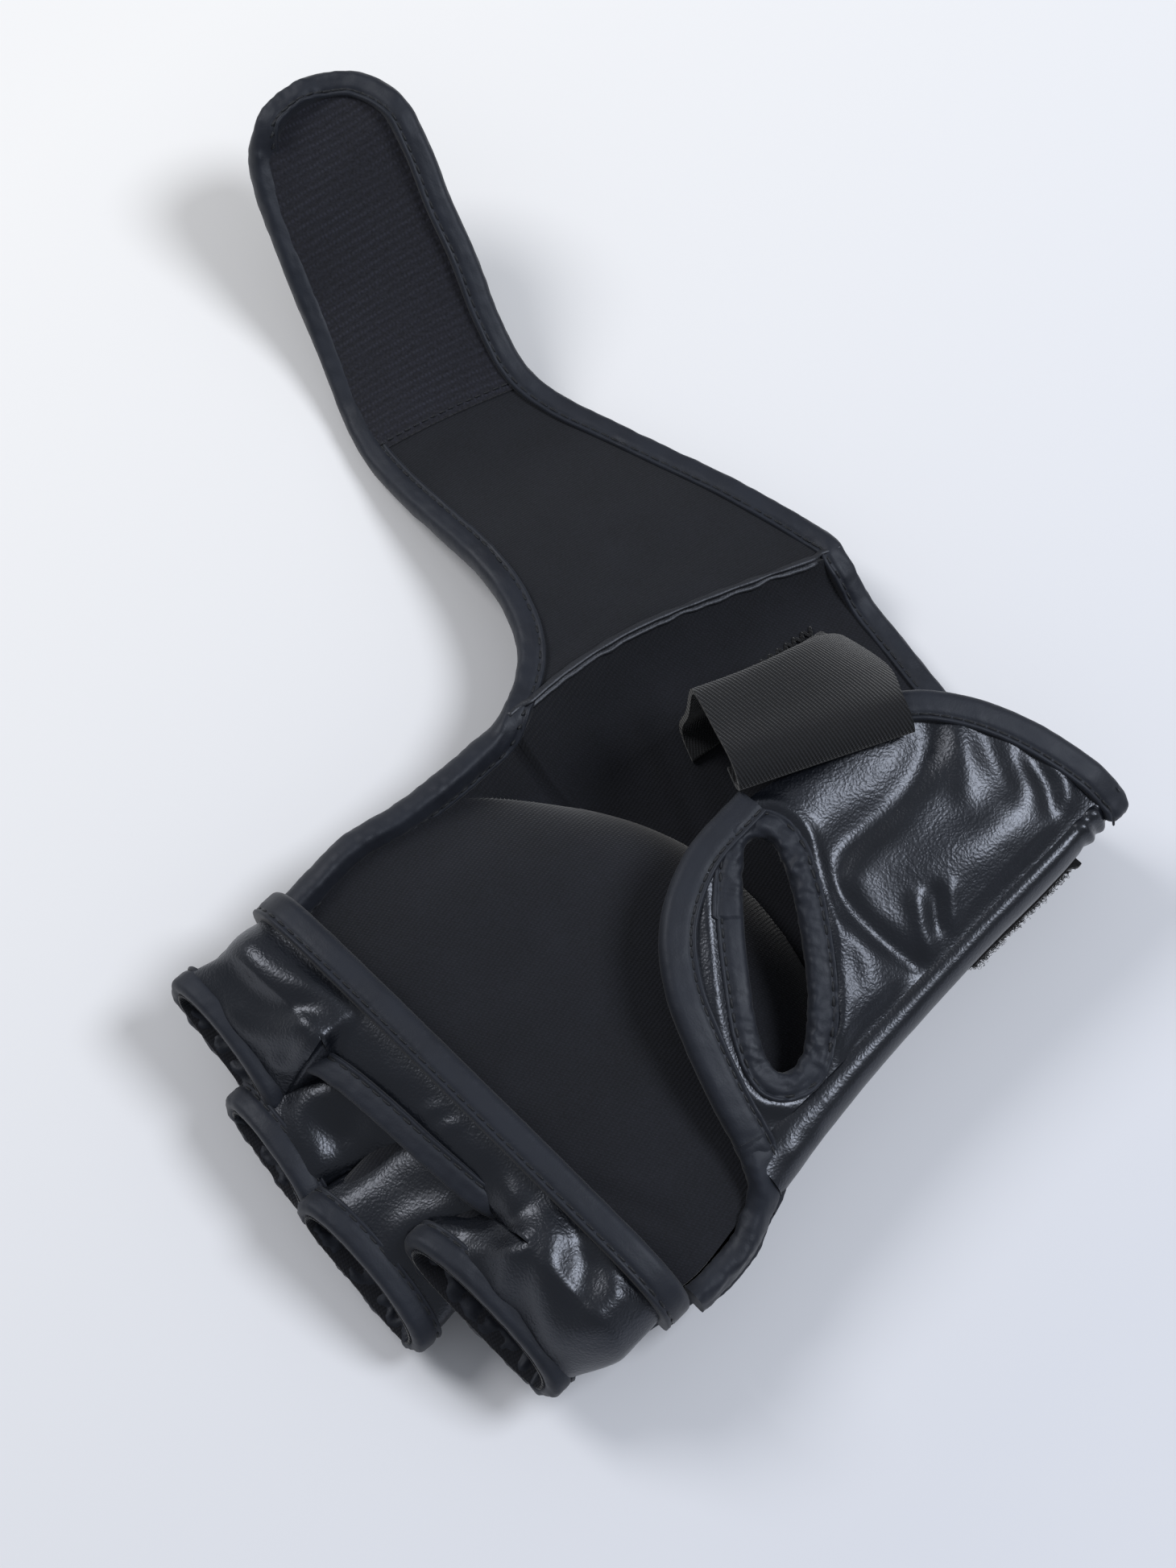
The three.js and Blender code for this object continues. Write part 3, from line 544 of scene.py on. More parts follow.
def make_tape(name, line, normals, width, thickness, side, closed=False, lip=1.4, part=None, gather=0.15,
              seed=3, gathers=None, pucker=5.0, grow=None):
    """Tape folded round an edge: line is its rim, on the middle of what it wraps, part the stretch made."""
    half = tape_profile(width, thickness, lip)
    section = np.vstack([half, half[::-1][:-1] * (1, -1)])
    _, out, up = frames_along(line, normals, side, closed)
    size = np.ones(len(line)) if grow is None else grow
    a, b = (size[:, None] * section[None, :, k] for k in (0, 1))
    points = line[:, None] + out[:, None] * a[..., None] + up[:, None] * b[..., None]
    small = ripples(seed, pucker)(points) * 0.6 + ripples(seed + 1, 0.5 * pucker)(points) * 0.4
    amount = gather if gathers is None else gather + gathers[:, None]
    outward = out[:, None] * (0.6 * (a[..., None] > -0.35 * width)) + up[:, None] * np.sign(b)[..., None]
    points = points + outward * (small * amount)[..., None]
    n = len(section)
    flat = points_at(run_of(line)[:, None], np.cumsum(np.full(n, width / n))[None], 0.0)
    if part is not None:
        points, flat = points[part], flat[part]
    rows = len(points)
    if closed:
        faces = grid_faces(rows, n, wrap_rows=True, wrap_columns=True, flip=side < 0)
    else:
        faces = tube_faces(rows, n, flip=side < 0)
    piece = make_mesh(name, points.reshape(-1, 3), faces, "tape", flat.reshape(-1, 3))
    fix_normals(piece)
    return piece


thread_rings = [(-0.5, 0.35), (-0.36, 1.0), (0.0, 1.1), (0.36, 1.0), (0.5, 0.35)]
thread_sides = 6


def make_threads(name, centres, ways, outs, ups, size, radius, finish="thread"):
    """Short rounded threads at centres, each with its way, its out and its up."""
    points, faces = [], []
    for c, w, o, u in zip(centres, ways, outs, ups):
        faces += tube_faces(len(thread_rings), thread_sides, start=len(points))
        for along, grow in thread_rings:
            for k in range(thread_sides):
                turn = 2 * math.pi * k / thread_sides
                ring = o * math.cos(turn) * radius * 1.2 + u * math.sin(turn) * radius
                points.append(c + w * along * size + ring * grow)
    piece = make_mesh(name, np.array(points), faces, finish)
    fix_normals(piece)
    return piece


stitch_pitch = 2.9


def make_stitches(name, line, normals, side, across, height, closed, under, part):
    """Thread dashes along a tape's groove, on its upper leg and, with under, on its lower one."""
    count = max(2, int(length_of(line) / stitch_pitch))
    run = run_of(line)
    centres = (np.arange(count) + 0.5) * run[-1] / count
    if part is not None:
        first, last = run[part][0], run[part][-1]
        centres = centres[(centres >= first) & (centres < last)]
    base = read_at(centres, run, line)
    way, out, up = (unit(read_at(centres, run, a)) for a in frames_along(line, normals, side, closed))
    legs = (1, -1) if under else (1,)
    middle = np.vstack([base - out * across + up * height * leg for leg in legs])
    way, out, up = (np.vstack([a] * len(legs)) for a in (way, out, up))
    return make_threads(name, middle, way, out, up, 0.76 * stitch_pitch, 0.27)


def distance_to(x, y, line):
    """Distance from plan points to a line of points."""
    p = np.stack([x, y], -1)
    best = np.full(x.shape, np.inf)
    for a, b in zip(line[:-1], line[1:]):
        d = b - a
        t = clamp(((p - a) @ d) / (d @ d))
        best = np.minimum(best, np.linalg.norm(p - a - t[..., None] * d, axis=-1))
    return best


def folds(x, y, ridges):
    """Sum of soft ridges and hollows: height, width, and the points of the line."""
    total = np.zeros(np.shape(x))
    for height, width, points in ridges:
        rough = np.array(points, float)
        count = max(4, int(2.2 * length_of(rough) / width))
        line = smooth_line(rough, count)
        each = height * length_of(line) / (count - 1) / (width * math.sqrt(math.pi))
        for px, py in line:
            total += each * np.exp(-((x - px) ** 2 + (y - py) ** 2) / width**2)
    return total


# Materials
def srgb(r, g, b):
    def linear(v):
        v /= 255
        return v / 12.92 if v < 0.04045 else ((v + 0.055) / 1.055) ** 2.4

    return (linear(r), linear(g), linear(b), 1)


# A wave texture's bands repeat at this place in its own scale
wave_scale = 0.1 * math.pi


class Nodes:
    """Short form for building a material. A value is a number, a colour or another node's output."""

    def __init__(self, name):
        self.material = bpy.data.materials.new(name)
        self.material.use_nodes = True
        self.tree = self.material.node_tree
        self.shader = self.tree.nodes["Principled BSDF"]
        self.metres = self.new("ShaderNodeTexCoord").outputs["Object"]

    def feed(self, socket, value):
        if isinstance(value, bpy.types.NodeSocket):
            self.tree.links.new(value, socket)
        else:
            socket.default_value = value

    def new(self, kind, **values):
        node = self.tree.nodes.new(kind)
        for key, value in values.items():
            name = key.replace("_", " ")
            if name in node.inputs:
                self.feed(node.inputs[name], value)
            else:
                setattr(node, key, value)
        return node

    def mixed(self, kind, value, low, high):
        """Mix of two vectors or colours."""
        node = self.new("ShaderNodeMix", data_type=kind, Factor=value)
        first, out = {"VECTOR": (4, 1), "RGBA": (6, 2)}[kind]
        self.feed(node.inputs[first], low)
        self.feed(node.inputs[first + 1], high)
        return node.outputs[out]

    def wave(self, pitch, angle, distortion, detail=1.0, detail_scale=1.0):
        """Bands on the cloth, with the millimetres from one to the next and their turn."""
        scale = wave_scale / (pitch * mm)
        source = self.new("ShaderNodeAttribute", attribute_name="flat").outputs["Vector"]
        turned = self.new("ShaderNodeMapping", Vector=source, Scale=(scale, scale, scale),
                          Rotation=(0, 0, angle))
        bands = self.new("ShaderNodeTexWave", Vector=turned.outputs["Vector"], Scale=1.0,
                         Distortion=distortion, Detail=detail, Detail_Scale=detail_scale)
        return bands.outputs["Fac"]

    def noise(self, scale, detail=3.0, roughness=0.55):
        node = self.new("ShaderNodeTexNoise", Vector=self.metres, Scale=scale, Detail=detail,
                        Roughness=roughness)
        return node.outputs["Fac"]

    def math(self, operation, a, b):
        node = self.new("ShaderNodeMath", operation=operation)
        self.feed(node.inputs[0], a)
        self.feed(node.inputs[1], b)
        return node.outputs["Value"]

    def ramp(self, value, low, high, start=0.0, end=1.0):
        node = self.new("ShaderNodeMapRange", Value=value, From_Min=start, From_Max=end, To_Min=low,
                        To_Max=high)
        return node.outputs["Result"]

    def bump(self, height, distance, strength=1.0, **below):
        node = self.new("ShaderNodeBump", Strength=strength, Distance=distance * mm, Height=height, **below)
        return node.outputs["Normal"]

    def finish(self, tone, dark, light, **values):
        """Colours the shader between dark and light, sets its other inputs and gives the material."""
        values["Base_Color"] = self.mixed("RGBA", tone, dark, light)
        for key, value in values.items():
            self.feed(self.shader.inputs[key.replace("_", " ")], value)
        return self.material


def leather_material(name, dark, light, rough, grain=0.05):
    """Grained synthetic leather: fine worm-like pebbles, soft unevenness and uneven gloss."""
    n = Nodes(name)
    warp = n.new("ShaderNodeTexNoise", Vector=n.metres, Scale=520.0, Detail=2.0)
    bent = n.mixed("VECTOR", 0.0016, n.metres, warp.outputs["Color"])
    pebbles = n.new("ShaderNodeTexVoronoi", feature="SMOOTH_F1", Vector=bent, Scale=1500.0, Smoothness=0.4)
    patchy = n.noise(45.0)
    height = n.math("MULTIPLY", pebbles.outputs["Distance"], n.ramp(patchy, 0.5, 1.0, 0.35, 0.6))
    return n.finish(
        n.ramp(patchy, 0, 1, 0.3, 0.7), dark, light,
        Normal=n.bump(height, grain, 1.0, Normal=n.bump(n.noise(160.0, 2.0), 0.1, 0.25)),
        Roughness=n.ramp(patchy, rough - 0.03, rough + 0.05, 0.3, 0.7),
        Specular_IOR_Level=0.58, Specular_Tint=(0.82, 0.87, 1.0, 1.0),
    )


def tape_material(name, dark, light):
    """Matte tape with a soft hand and faint grain."""
    n = Nodes(name)
    patchy = n.noise(90.0, 4.0)
    return n.finish(
        n.ramp(patchy, 0, 1, 0.3, 0.7), dark, light,
        Normal=n.bump(n.noise(1900.0, 2.0), 0.06, 0.6, Normal=n.bump(n.noise(420.0), 0.12, 0.6)),
        Roughness=n.ramp(patchy, 0.5, 0.64, 0.3, 0.7), Specular_IOR_Level=0.36,
        Specular_Tint=(0.85, 0.9, 1.0, 1.0), Sheen_Weight=0.08, Sheen_Roughness=0.5,
    )


def knit_material(name, dark, light, pitch, angle, depth=0.12):
    """Fine knit: slanted ribs broken into stitches, with a soft nap and some lint."""
    n = Nodes(name)
    courses = n.wave(0.7 * pitch, angle + 1.25, 0.8)
    weave = n.math("MULTIPLY", n.wave(pitch, angle, 0.9, 2.0, 3.0), n.ramp(courses, 0.35, 1.0))
    lint = n.ramp(n.noise(900.0, 1.0), 0, 1, 0.80, 0.83)
    nap = n.ramp(n.noise(1700.0, 1.0), 0, 0.35, 0.3, 0.7)
    patches = n.ramp(n.noise(60.0, 5.0), 0, 0.3, 0.3, 0.7)
    tone = n.math("ADD", n.math("MULTIPLY", weave, 0.3), n.math("ADD", nap, patches))
    return n.finish(
        n.math("ADD", tone, lint), dark, light,
        Normal=n.bump(n.noise(2600.0, 2.0), 0.12, 0.7, Normal=n.bump(weave, depth, 0.8)),
        Roughness=0.92, Specular_IOR_Level=0.25, Sheen_Weight=0.22, Sheen_Roughness=0.45,
    )


def elastic_material():
    """Ribbed elastic webbing: slanted cords with a fine weave across them."""
    n = Nodes("elastic_webbing")
    weave = n.math("MULTIPLY", n.wave(0.72, 1.24, 0.4), n.ramp(n.wave(0.45, 2.6, 0.8), 0.5, 1.0))
    fuzz = n.noise(2400.0, 2.0)
    tone = n.math("ADD", n.math("MULTIPLY", weave, 0.75), n.ramp(fuzz, 0, 0.35, 0.4, 0.7))
    return n.finish(
        tone, srgb(9, 10, 13), srgb(31, 33, 38),
        Normal=n.bump(fuzz, 0.1, 0.7, Normal=n.bump(weave, 0.28, 0.9)),
        Roughness=0.85, Specular_IOR_Level=0.3, Sheen_Weight=0.2, Sheen_Roughness=0.4,
    )


def fastener_material(name, dark, light, pitch, angle, depth):
    """Hook or loop tape: rows of small dots and a rough nap."""
    n = Nodes(name)
    rows = n.math("POWER", n.wave(pitch, angle, 0.5, 2.0, 4.0), 3.0)
    hooks = n.math("MULTIPLY", rows, n.ramp(n.wave(0.95, angle + 1.45, 2.0), 0.1, 1.0))
    shown = n.math("MULTIPLY", hooks, n.ramp(n.noise(55.0, 2.0), 0.35, 1.0, 0.35, 0.65))
    nap = n.ramp(n.noise(1500.0, 4.0, 0.7), 0.0, 0.5, 0.35, 0.7)
    tufts = n.new("ShaderNodeTexVoronoi", Vector=n.metres, Scale=1000.0)
    return n.finish(
        n.math("ADD", n.math("MULTIPLY", shown, 0.6), nap), dark, light,
        Normal=n.bump(tufts.outputs["Distance"], 0.3, 0.6, Normal=n.bump(shown, depth, 0.8)),
        Roughness=0.88, Specular_IOR_Level=0.25, Sheen_Weight=0.18, Sheen_Roughness=0.5,
    )


def floor_material():
    """Pale paper with painted shade: darker and bluer towards +X, standing in for the lights' falloff."""
    n = Nodes("floor")
    across = n.new("ShaderNodeSeparateXYZ", Vector=n.metres).outputs["X"]
    # painted shade: the paper's colour darkens and turns bluer towards +X, where less lamp light is meant to
    # fall
    painted_falloff_shade = n.ramp(across, 0, 1, -0.2, 0.2)
    return n.finish(painted_falloff_shade, srgb(235, 235, 236), srgb(208, 211, 220), Roughness=0.7, Specular_IOR_Level=0.2)


finishes = {
    "leather": leather_material("glossy_leather", srgb(6, 8, 13), srgb(10, 13, 20), 0.33, 0.075),
    "tape": tape_material("edge_tape", srgb(15, 18, 27), srgb(20, 24, 34)),
    "thread": tape_material("thread", srgb(9, 10, 13), srgb(17, 18, 22)),
    "welt": leather_material("welt_leather", srgb(12, 13, 16), srgb(26, 27, 31), 0.46),
    "knit": knit_material("dome_knit", srgb(15, 17, 22), srgb(30, 32, 40), 0.85, -0.17),
    "root_knit": knit_material("strap_knit", srgb(16, 18, 23), srgb(29, 31, 38), 0.6, 0.2, 0.06),
    "elastic": elastic_material(),
    "hook": fastener_material("hook_tape", srgb(14, 15, 22), srgb(40, 42, 54), 2.06, 0.395, 0.12),
    "loop": fastener_material("loop_tape", srgb(7, 7, 10), srgb(26, 27, 33), 3.0, 0.0, 0.3),
    "foam": tape_material("foam", srgb(36, 36, 38), srgb(48, 48, 50)),
}


def dress(piece, body, slot, *nodes):
    """Puts a piece on its body and hides the frame's nodes that it stands for. slot is not used."""
    if body:
        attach(piece, body)
    if nodes:
        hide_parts(*nodes)
    return piece


def across_joint(piece, blend, slot, *nodes):
    """Bakes a piece's place into its points, on no body, and hides the frame's nodes that it stands for."""
    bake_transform(piece)
    return dress(piece, None, slot, *nodes)


# Places of the joints' blends: the strap's seam, the hook line, the thumb panel's seam, the knuckles
welt_blend = [("hand", "strap_base"), (10.5, 72, 24), (0.5, 74.3, 24)]
hook_blend = [("strap_base", "strap_tip"), (-63, 116, 11), (-74.5, 120.8, 11)]
seam_blend = [("hand", "thumb_panel"), (116, 80, 30), (107, 80, 30)]
finger_blend = [("hand", "fingers"), (62, -11, 30), (62, -25, 30)]
roll_blend = [("hand", "thumb_panel"), (38, 100, 30), (66, 100, 30)]


# Hand back
def hand_grid(rows, columns, left, right, bottom, top):
    """Plan grid over the hand between its edges, moved in by the four distances."""
    s = np.linspace(0, 1, columns)[None, :]
    t = np.linspace(0, 1, rows)[:, None]
    y0 = ulnar[0, 1] + bottom
    x = mix(left, hand_width - right, s) + 0 * t
    for _ in range(6):
        top_y = np.interp(x, wrist[:, 0], wrist[:, 1]) - top
        y = mix(y0, top_y, t)
        near_welt = 1 - 0.9 * smooth((y - welt[0, 1] - 2) / 8)
        x = mix(left_x(y) + left * near_welt, right_x(y) - right, s)
    return x, y


# Where the back's leather is split between the piece by the fingers and the piece by the strap
back_cut = 22.0


# Where the knuckle pad ends and the wrist pad starts, and the lining's folds
pad_border = 0.52 * palm_length
lining_ridges = [
    (0.8, 4, [(24, 100), (40, 92), (56, 84)]), (0.7, 3.5, [(20, 84), (34, 84), (48, 80)]),
    (-0.8, 3, [(22, 92), (38, 88), (52, 81)]), (0.6, 4, [(30, 122), (40, 134), (52, 140)]),
    (-1.0, 3, [(94, 2), (102, 5), (112, 9)]),
]


def make_lining():
    x, y = hand_grid(230, 190, 2.0, 3.2, 0, 2.5)
    z = lining_top(x, y)
    z = z + folds(x, y, lining_ridges) + 0.35 * ripples(11, 26)(points_at(x, y, z))
    piece = make_sheet("hand_lining_knit", points_at(x, y, z), lining, "knit", by_plan=True)
    across_joint(piece, welt_blend, "knit", "hand_lining")


def make_hand_pads():
    for name, left, toward in (("knuckle_pad", 4.2, -1), ("wrist_pad", 9.0, 1)):
        x, y = hand_grid(150, 110, left, 5.0, 2, 6)
        rows = toward * (y[:, 55] - pad_border) >= 0.5
        x, y = x[rows], y[rows]
        high = points_at(x, y, lining_top(x, y) - 1.7)
        low = points_at(x, y, hand_height(x, y) - half_stack + 1.8)
        piece = make_pad(f"{name}_foam", high, low)
        dress(piece, "hand", "foam", name)


def make_back_leather():
    x, y = hand_grid(210, 170, 0.6, 0.8, -1.0, 1.5)
    z = hand_height(x, y) - half_stack
    groove = 0.9 * np.exp(-(((y - pad_border) / 2.2) ** 2)) * smooth((x - 12) / 10) * smooth((112 - x) / 10)
    lumps = 0.5 + 0.5 * ripples(5, 30)(points_at(x, y, z))
    top = points_at(x, y, z + groove + 0.25 * lumps * (z > 0.05) + leather)
    normals = upward(grid_normals(top))
    cut = int(np.argmax(y[:, 85] > back_cut))
    for name, rows, blend, nodes in (
        ("back_front_leather", slice(0, cut + 1), finger_blend, []),
        ("back_leather", slice(cut, len(top)), welt_blend, ["back_shell"]),
    ):
        piece = make_sheet(name, top[rows], leather, "leather", normals=normals[rows], by_plan=True)
        across_joint(piece, blend, "leather", *nodes)


def make_pad(name, high, low):
    """Foam between two grids of points, thinned to its middle at the edges."""
    rims = (np.minimum(np.arange(count), np.arange(count)[::-1]) for count in high.shape[:2])
    part = np.sqrt(clamp(np.minimum.outer(*rims) / 3))[..., None] * 0.98 + 0.02
    middle = (high + low) / 2
    return make_shell(name, mix(middle, high, part), mix(middle, low, part), "foam")


def taped(name, line, normals, side, nodes, size=None, body=None, blend=None, closed=False, lip=1.4,
          under=True, part=None, **look):
    """A folded tape and its stitches, both on one body, or on none when a blend is given. look goes on to
    make_tape.
    """
    width, thickness = tape_sizes[size or name]
    tape = make_tape(f"{name}_tape", line, normals, width, thickness, side, closed, lip, part, **look)
    height = thickness / 2 - 0.42
    thread = make_stitches(f"{name}_stitches", line, normals, side, width - lip, height, closed, under, part)
    for piece, held in ((tape, nodes), (thread, [])):
        if blend:
            across_joint(piece, blend, "tape", *held)
        else:
            dress(piece, body, "tape", *held)


def make_hand_tapes():
    line, normals = perimeter_frames()
    place_on = np.arange(len(line))
    gathers = 0.16 * np.exp(-((place_on - tip_middle) / 60) ** 2)
    gathers = gathers + 0.2 * np.exp(-((place_on - upper_welt) / 30) ** 2)
    start = nearest(perimeter, (0, -5))
    for name, part, nodes, blend in (
        ("lower", slice(start, cut_low + 1), ["ulnar_binding", "strap_lower_binding"], welt_blend),
        ("tip", slice(cut_low, cut_high + 1), ["strap_tip_binding"], hook_blend),
        ("upper", slice(cut_high, len(line)), ["strap_upper_binding", "wrist_binding"], welt_blend),
    ):
        taped(name, line, normals, -1, nodes, "rim", blend=blend, gather=0.14, seed=8, gathers=gathers,
              part=part)


# The piping's section: across the seam, and up
welt_profile = np.array([
    (-1.45, -0.6), (-1.4, 0.3), (-1.05, 0.85), (-0.6, 0.85), (-0.25, 0.4), (0.0, 0.1), (0.3, 0.45),
    (0.65, 0.72), (1.05, 0.6), (1.35, 0.1), (1.4, -0.6),
])


def make_welt():
    top = lifted(welt, lambda x, y: hand_height(x, y) + half_stack)
    _, out, up = frames_along(top, normals_on(top, hand_height), 1, False)
    pinch = ripples(21, 7)(top)[:, None, None]
    run = np.linspace(0, length_of(top), len(top))
    near_end = np.minimum(run, run[-1] - run)[:, None, None]
    a = welt_profile[None, :, :1] * (1 + 0.15 * pinch)
    b = welt_profile[None, :, 1:] * (1 + 0.25 * pinch) - 1.7 * (1 - smooth((near_end - 4.5) / 4))
    points = top[:, None] + out[:, None] * (a + 0.12 * pinch) + up[:, None] * b
    piece = make_mesh("welt_piping", points.reshape(-1, 3), tube_faces(*points.shape[:2]), "welt")
    fix_normals(piece)
    across_joint(piece, welt_blend, "welt", "strap_welt")


strap_columns = 96
strap_counts = (84, 16, 110)
strap_inset = 2.2


def strap_plan():
    """Plan grid over the strap: rows run across it, from the welt by the cut and the hook line to the tip."""
    edge = inset(perimeter, -strap_inset)
    stops = [(lower_welt, upper_welt), (cut_low, cut_high), (hook_low, hook_high), (tip_middle, tip_middle)]
    low, high = [], []
    for (a, b), (c, d), count in zip(stops, stops[1:], strap_counts):
        low.append(spaced(edge[a:c + 1], count + 1)[:-1])
        high.append(spaced(edge[d:b + 1][::-1], count + 1)[:-1])
    low = np.vstack([*low, edge[tip_middle - 4:tip_middle - 3]])
    high = np.vstack([*high, edge[tip_middle + 4:tip_middle + 5]])
    plan = mix(low[:, None], high[:, None], np.linspace(0, 1, strap_columns)[None, :, None])
    ease = (1 - np.arange(len(low)) / (0.35 * strap_counts[0])).clip(0, 1)[:, None, None] ** 2
    return plan + ease * (spaced(welt, strap_columns)[None] - plan[:1])


def make_strap():
    cut, hook = strap_counts[0], sum(strap_counts[:2])
    plan = strap_plan()
    x, y = plan[..., 0], plan[..., 1]
    points = points_at(x, y, strap_height(x, y))
    shares = np.linspace(0, 1, strap_columns)[None]
    centre = plan[:, strap_columns // 2]
    chord = np.linalg.norm(plan[:, -1] - plan[:, 0], axis=1)[:, None]
    to_tip = np.linalg.norm(centre - centre[-1], axis=1)[:, None]
    near = np.minimum(np.minimum(shares, 1 - shares) * chord, to_tip) + strap_inset
    top = points + (0, 0, half_stack - 0.75) + np.array([0, 0, 0.22]) * ripples(31, 34)(points)[..., None]
    top[..., 2] -= 0.9 * np.exp(-((near / 4.6) ** 2))
    low = points - (0, 0, half_stack - 0.6)
    up, down = upward(grid_normals(top)), upward(grid_normals(low))
    hook_top = top + up * 0.45
    root, end, tip = slice(0, cut + 1), slice(cut, hook + 3), slice(cut, len(low))
    for name, grid, normals, rows, thickness, slot, blend, node, half in (
        ("strap_root_knit", top, up, root, lining, "knit", welt_blend, "strap_root_lining", "root"),
        ("strap_end_knit", top, up, end, lining, "knit", hook_blend, None, "tip"),
        ("hook_tape", hook_top, up, slice(hook, len(top)), 1.5, "hook", hook_blend, "hook_patch", "tip"),
        ("strap_root_leather", low, down, root, leather, "leather", welt_blend, "strap_root_shell", "root"),
        ("strap_tip_leather", low, down, tip, leather, "leather", hook_blend, "strap_tip_shell", "tip"),
    ):
        finish = "root_knit" if slot == "knit" else slot
        piece = make_sheet(name, grid[rows], thickness, finish, normals=normals[rows], by_plan=True)
        across_joint(piece, blend, slot, *[node] * bool(node))

    line = (hook_top + up * 0.12)[hook + 2, 3:-3]
    centres = spaced(line, 18)
    way = np.broadcast_to(unit(line[-1] - line[0]), centres.shape)
    out = unit(np.cross(way, (0, 0, 1.0)))
    thread = make_threads("hook_edge_stitches", centres, way, out, np.cross(out, way), 1.7, 0.2)
    across_joint(thread, hook_blend, "hook")

    tip = slice(hook + 9, len(points) - 3)
    for half, body, rows in (("root", "strap_base", slice(7, cut + 8)), ("tip", "strap_tip", tip)):
        middle = points[rows, 3:-3]
        foam = make_pad(f"strap_{half}_padding", middle + (0, 0, 0.8), middle - (0, 0, 0.7))
        dress(foam, body, "foam", f"strap_{half}_foam")


patch_start, patch_end = 100.5, 136


def make_loop_patch():
    x, y = np.meshgrid(np.linspace(63, 119, 90), np.linspace(patch_start, patch_end, 60), indexing="xy")
    x = np.minimum(x, right_x(y) + 0.9 + 1.8 * np.exp(-(((y - patch_end + 0.5) / 1.6) ** 2)))
    z = hand_height(np.minimum(x, right_x(y)), y) - half_stack - 0.35
    piece = make_sheet("loop_tape", points_at(x, y, z), 1.3, "loop", by_plan=True)
    dress(piece, "hand", "loop", "loop_patch")


def make_fuzz():
    """Loose threads along the loop tape's edge."""
    random = np.random.default_rng(4)
    points, faces = [], []
    for _ in range(900):
        y = random.uniform(patch_start, patch_end)
        x = float(right_x(y)) + random.uniform(-0.6, 1.0)
        z = float(hand_height(x - 1.0, y)) - half_stack - random.uniform(0.3, 1.7)
        way = unit(np.array([random.uniform(0.4, 1.0), random.normal() * 0.7, random.normal() * 0.6]))
        curl = unit(np.cross(way, random.normal(size=3)))
        reach = random.uniform(0.5, 1.5)
        faces += tube_faces(5, 3, start=len(points))
        for bend in np.linspace(0, 2.4, 5):
            centre = (x, y, z) + reach * (way * math.sin(bend) + curl * 0.5 * (1 - math.cos(bend)))
            for turn in np.radians((0, 120, 240)):
                points.append(centre + 0.06 * (curl * math.cos(turn) + np.cross(way, curl) * math.sin(turn)))
    fuzz = make_mesh("loop_fuzz", np.array(points), faces, "loop")
    fix_normals(fuzz)
    dress(fuzz, "hand", "loop")


# Thumb panel
hole_rim = smooth_line(on_hand(hole_shares), 260, closed=True)
hole_centre = hole_rim.mean(0)
hole_tape_end = (76.0, 62.5)
seam_end = int(np.argmax(free_edge[:, 0] > seam_x))

# Folds of the panel's leather: height, width, and the points of the line
panel_ridges = [
    (1.1, 7.0, [(69, 116), (69, 104), (70, 94), (75, 86)]),
    (-1.7, 4.2, [(78, 126), (82, 117), (83, 108), (82.5, 99), (82, 91), (86, 84)]),
    (2.2, 8.5, [(101, 131), (104, 122), (104, 112), (102, 106)]),
    (-0.9, 3.2, [(86, 134), (93, 131), (100, 128)]),
    (0.8, 3.4, [(80, 130), (88, 126), (94, 120)]),
    (-1.6, 2.8, [(88, 85), (94, 83.5), (102, 84), (110, 86), (115, 87)]),
    (1.3, 4.4, [(92, 78), (100, 79), (107, 77), (112, 74)]),
    (0.9, 2.0, [(101, 96), (107, 92), (112, 90)]),
    (-0.8, 1.8, [(103, 100), (109, 95)]),
    (0.8, 2.0, [(105, 103), (111, 98)]),
    (1.0, 2.2, [(101, 141), (106, 140), (110, 137)]),
    (-0.9, 2.4, [(96, 137.5), (103, 136), (109, 132)]),
    (-1.0, 4.0, [(104, 62), (109, 56), (112, 48)]),
    (1.2, 4.0, [(106, 72), (111, 62), (113, 50)]),
]


# Where the cuff's tape turns down at the seam
cuff_corner = [(114.6, 149.9, 30.6), (117.0, 149.4, 28.4), (118.2, 148.8, 26.2)]


def panel_top(x, y):
    z = panel_height(x, y) + leather
    points = points_at(x, y, z)
    return z + folds(x, y, panel_ridges) + (ripples(41, 24)(points) * 0.45 + ripples(42, 9)(points) * 0.07)


def make_thumb_panel():
    columns = 200
    bottom = smooth_line(inset(free_edge[:seam_end:8], 3.0), columns)
    top = smooth_line(inset(cuff[::8], -3.0), columns)
    t = np.linspace(0, 1, 220)[:, None]
    plan = mix(bottom[None], top[None], t[..., None])
    x, y = np.minimum(plan[..., 0], seam_x), plan[..., 1]
    x = x + (seam_x + 0.6 - x[:, -1:]) * np.linspace(0, 1, columns)[None] ** 3
    from_hole = hole_distance(x, y)
    edge_fade = smooth(np.minimum(t, 1 - t) * 22)
    seam_fade = smooth((seam_x - x) / 4)
    smooth_z = panel_height(x, y) + leather
    z = mix(smooth_z - 0.6, panel_top(x, y), edge_fade * mix(0.25, 1.0, seam_fade))
    z = mix(smooth_z, z, smooth((from_hole - 3.0) / 7) * 0.85 + 0.15)
    grid = points_at(x, y, z + 0.8 * np.exp(-(((from_hole - 7.6) / 1.8) ** 2)))
    centre = (grid[:-1, :-1] + grid[1:, 1:]) / 2
    keep = hole_distance(centre[..., 0], centre[..., 1]) > 1.5
    piece = make_sheet("thumb_panel_leather", grid, sewn_leather, "leather", keep=keep)
    across_joint(piece, seam_blend, "leather", "thumb_panel")
    under = grid - (0, 0, leather + 0.5)
    piece = make_sheet("thumb_panel_knit", under, thin_lining, "knit", keep=keep, by_plan=True)
    across_joint(piece, seam_blend, "knit", "thumb_panel_lining")


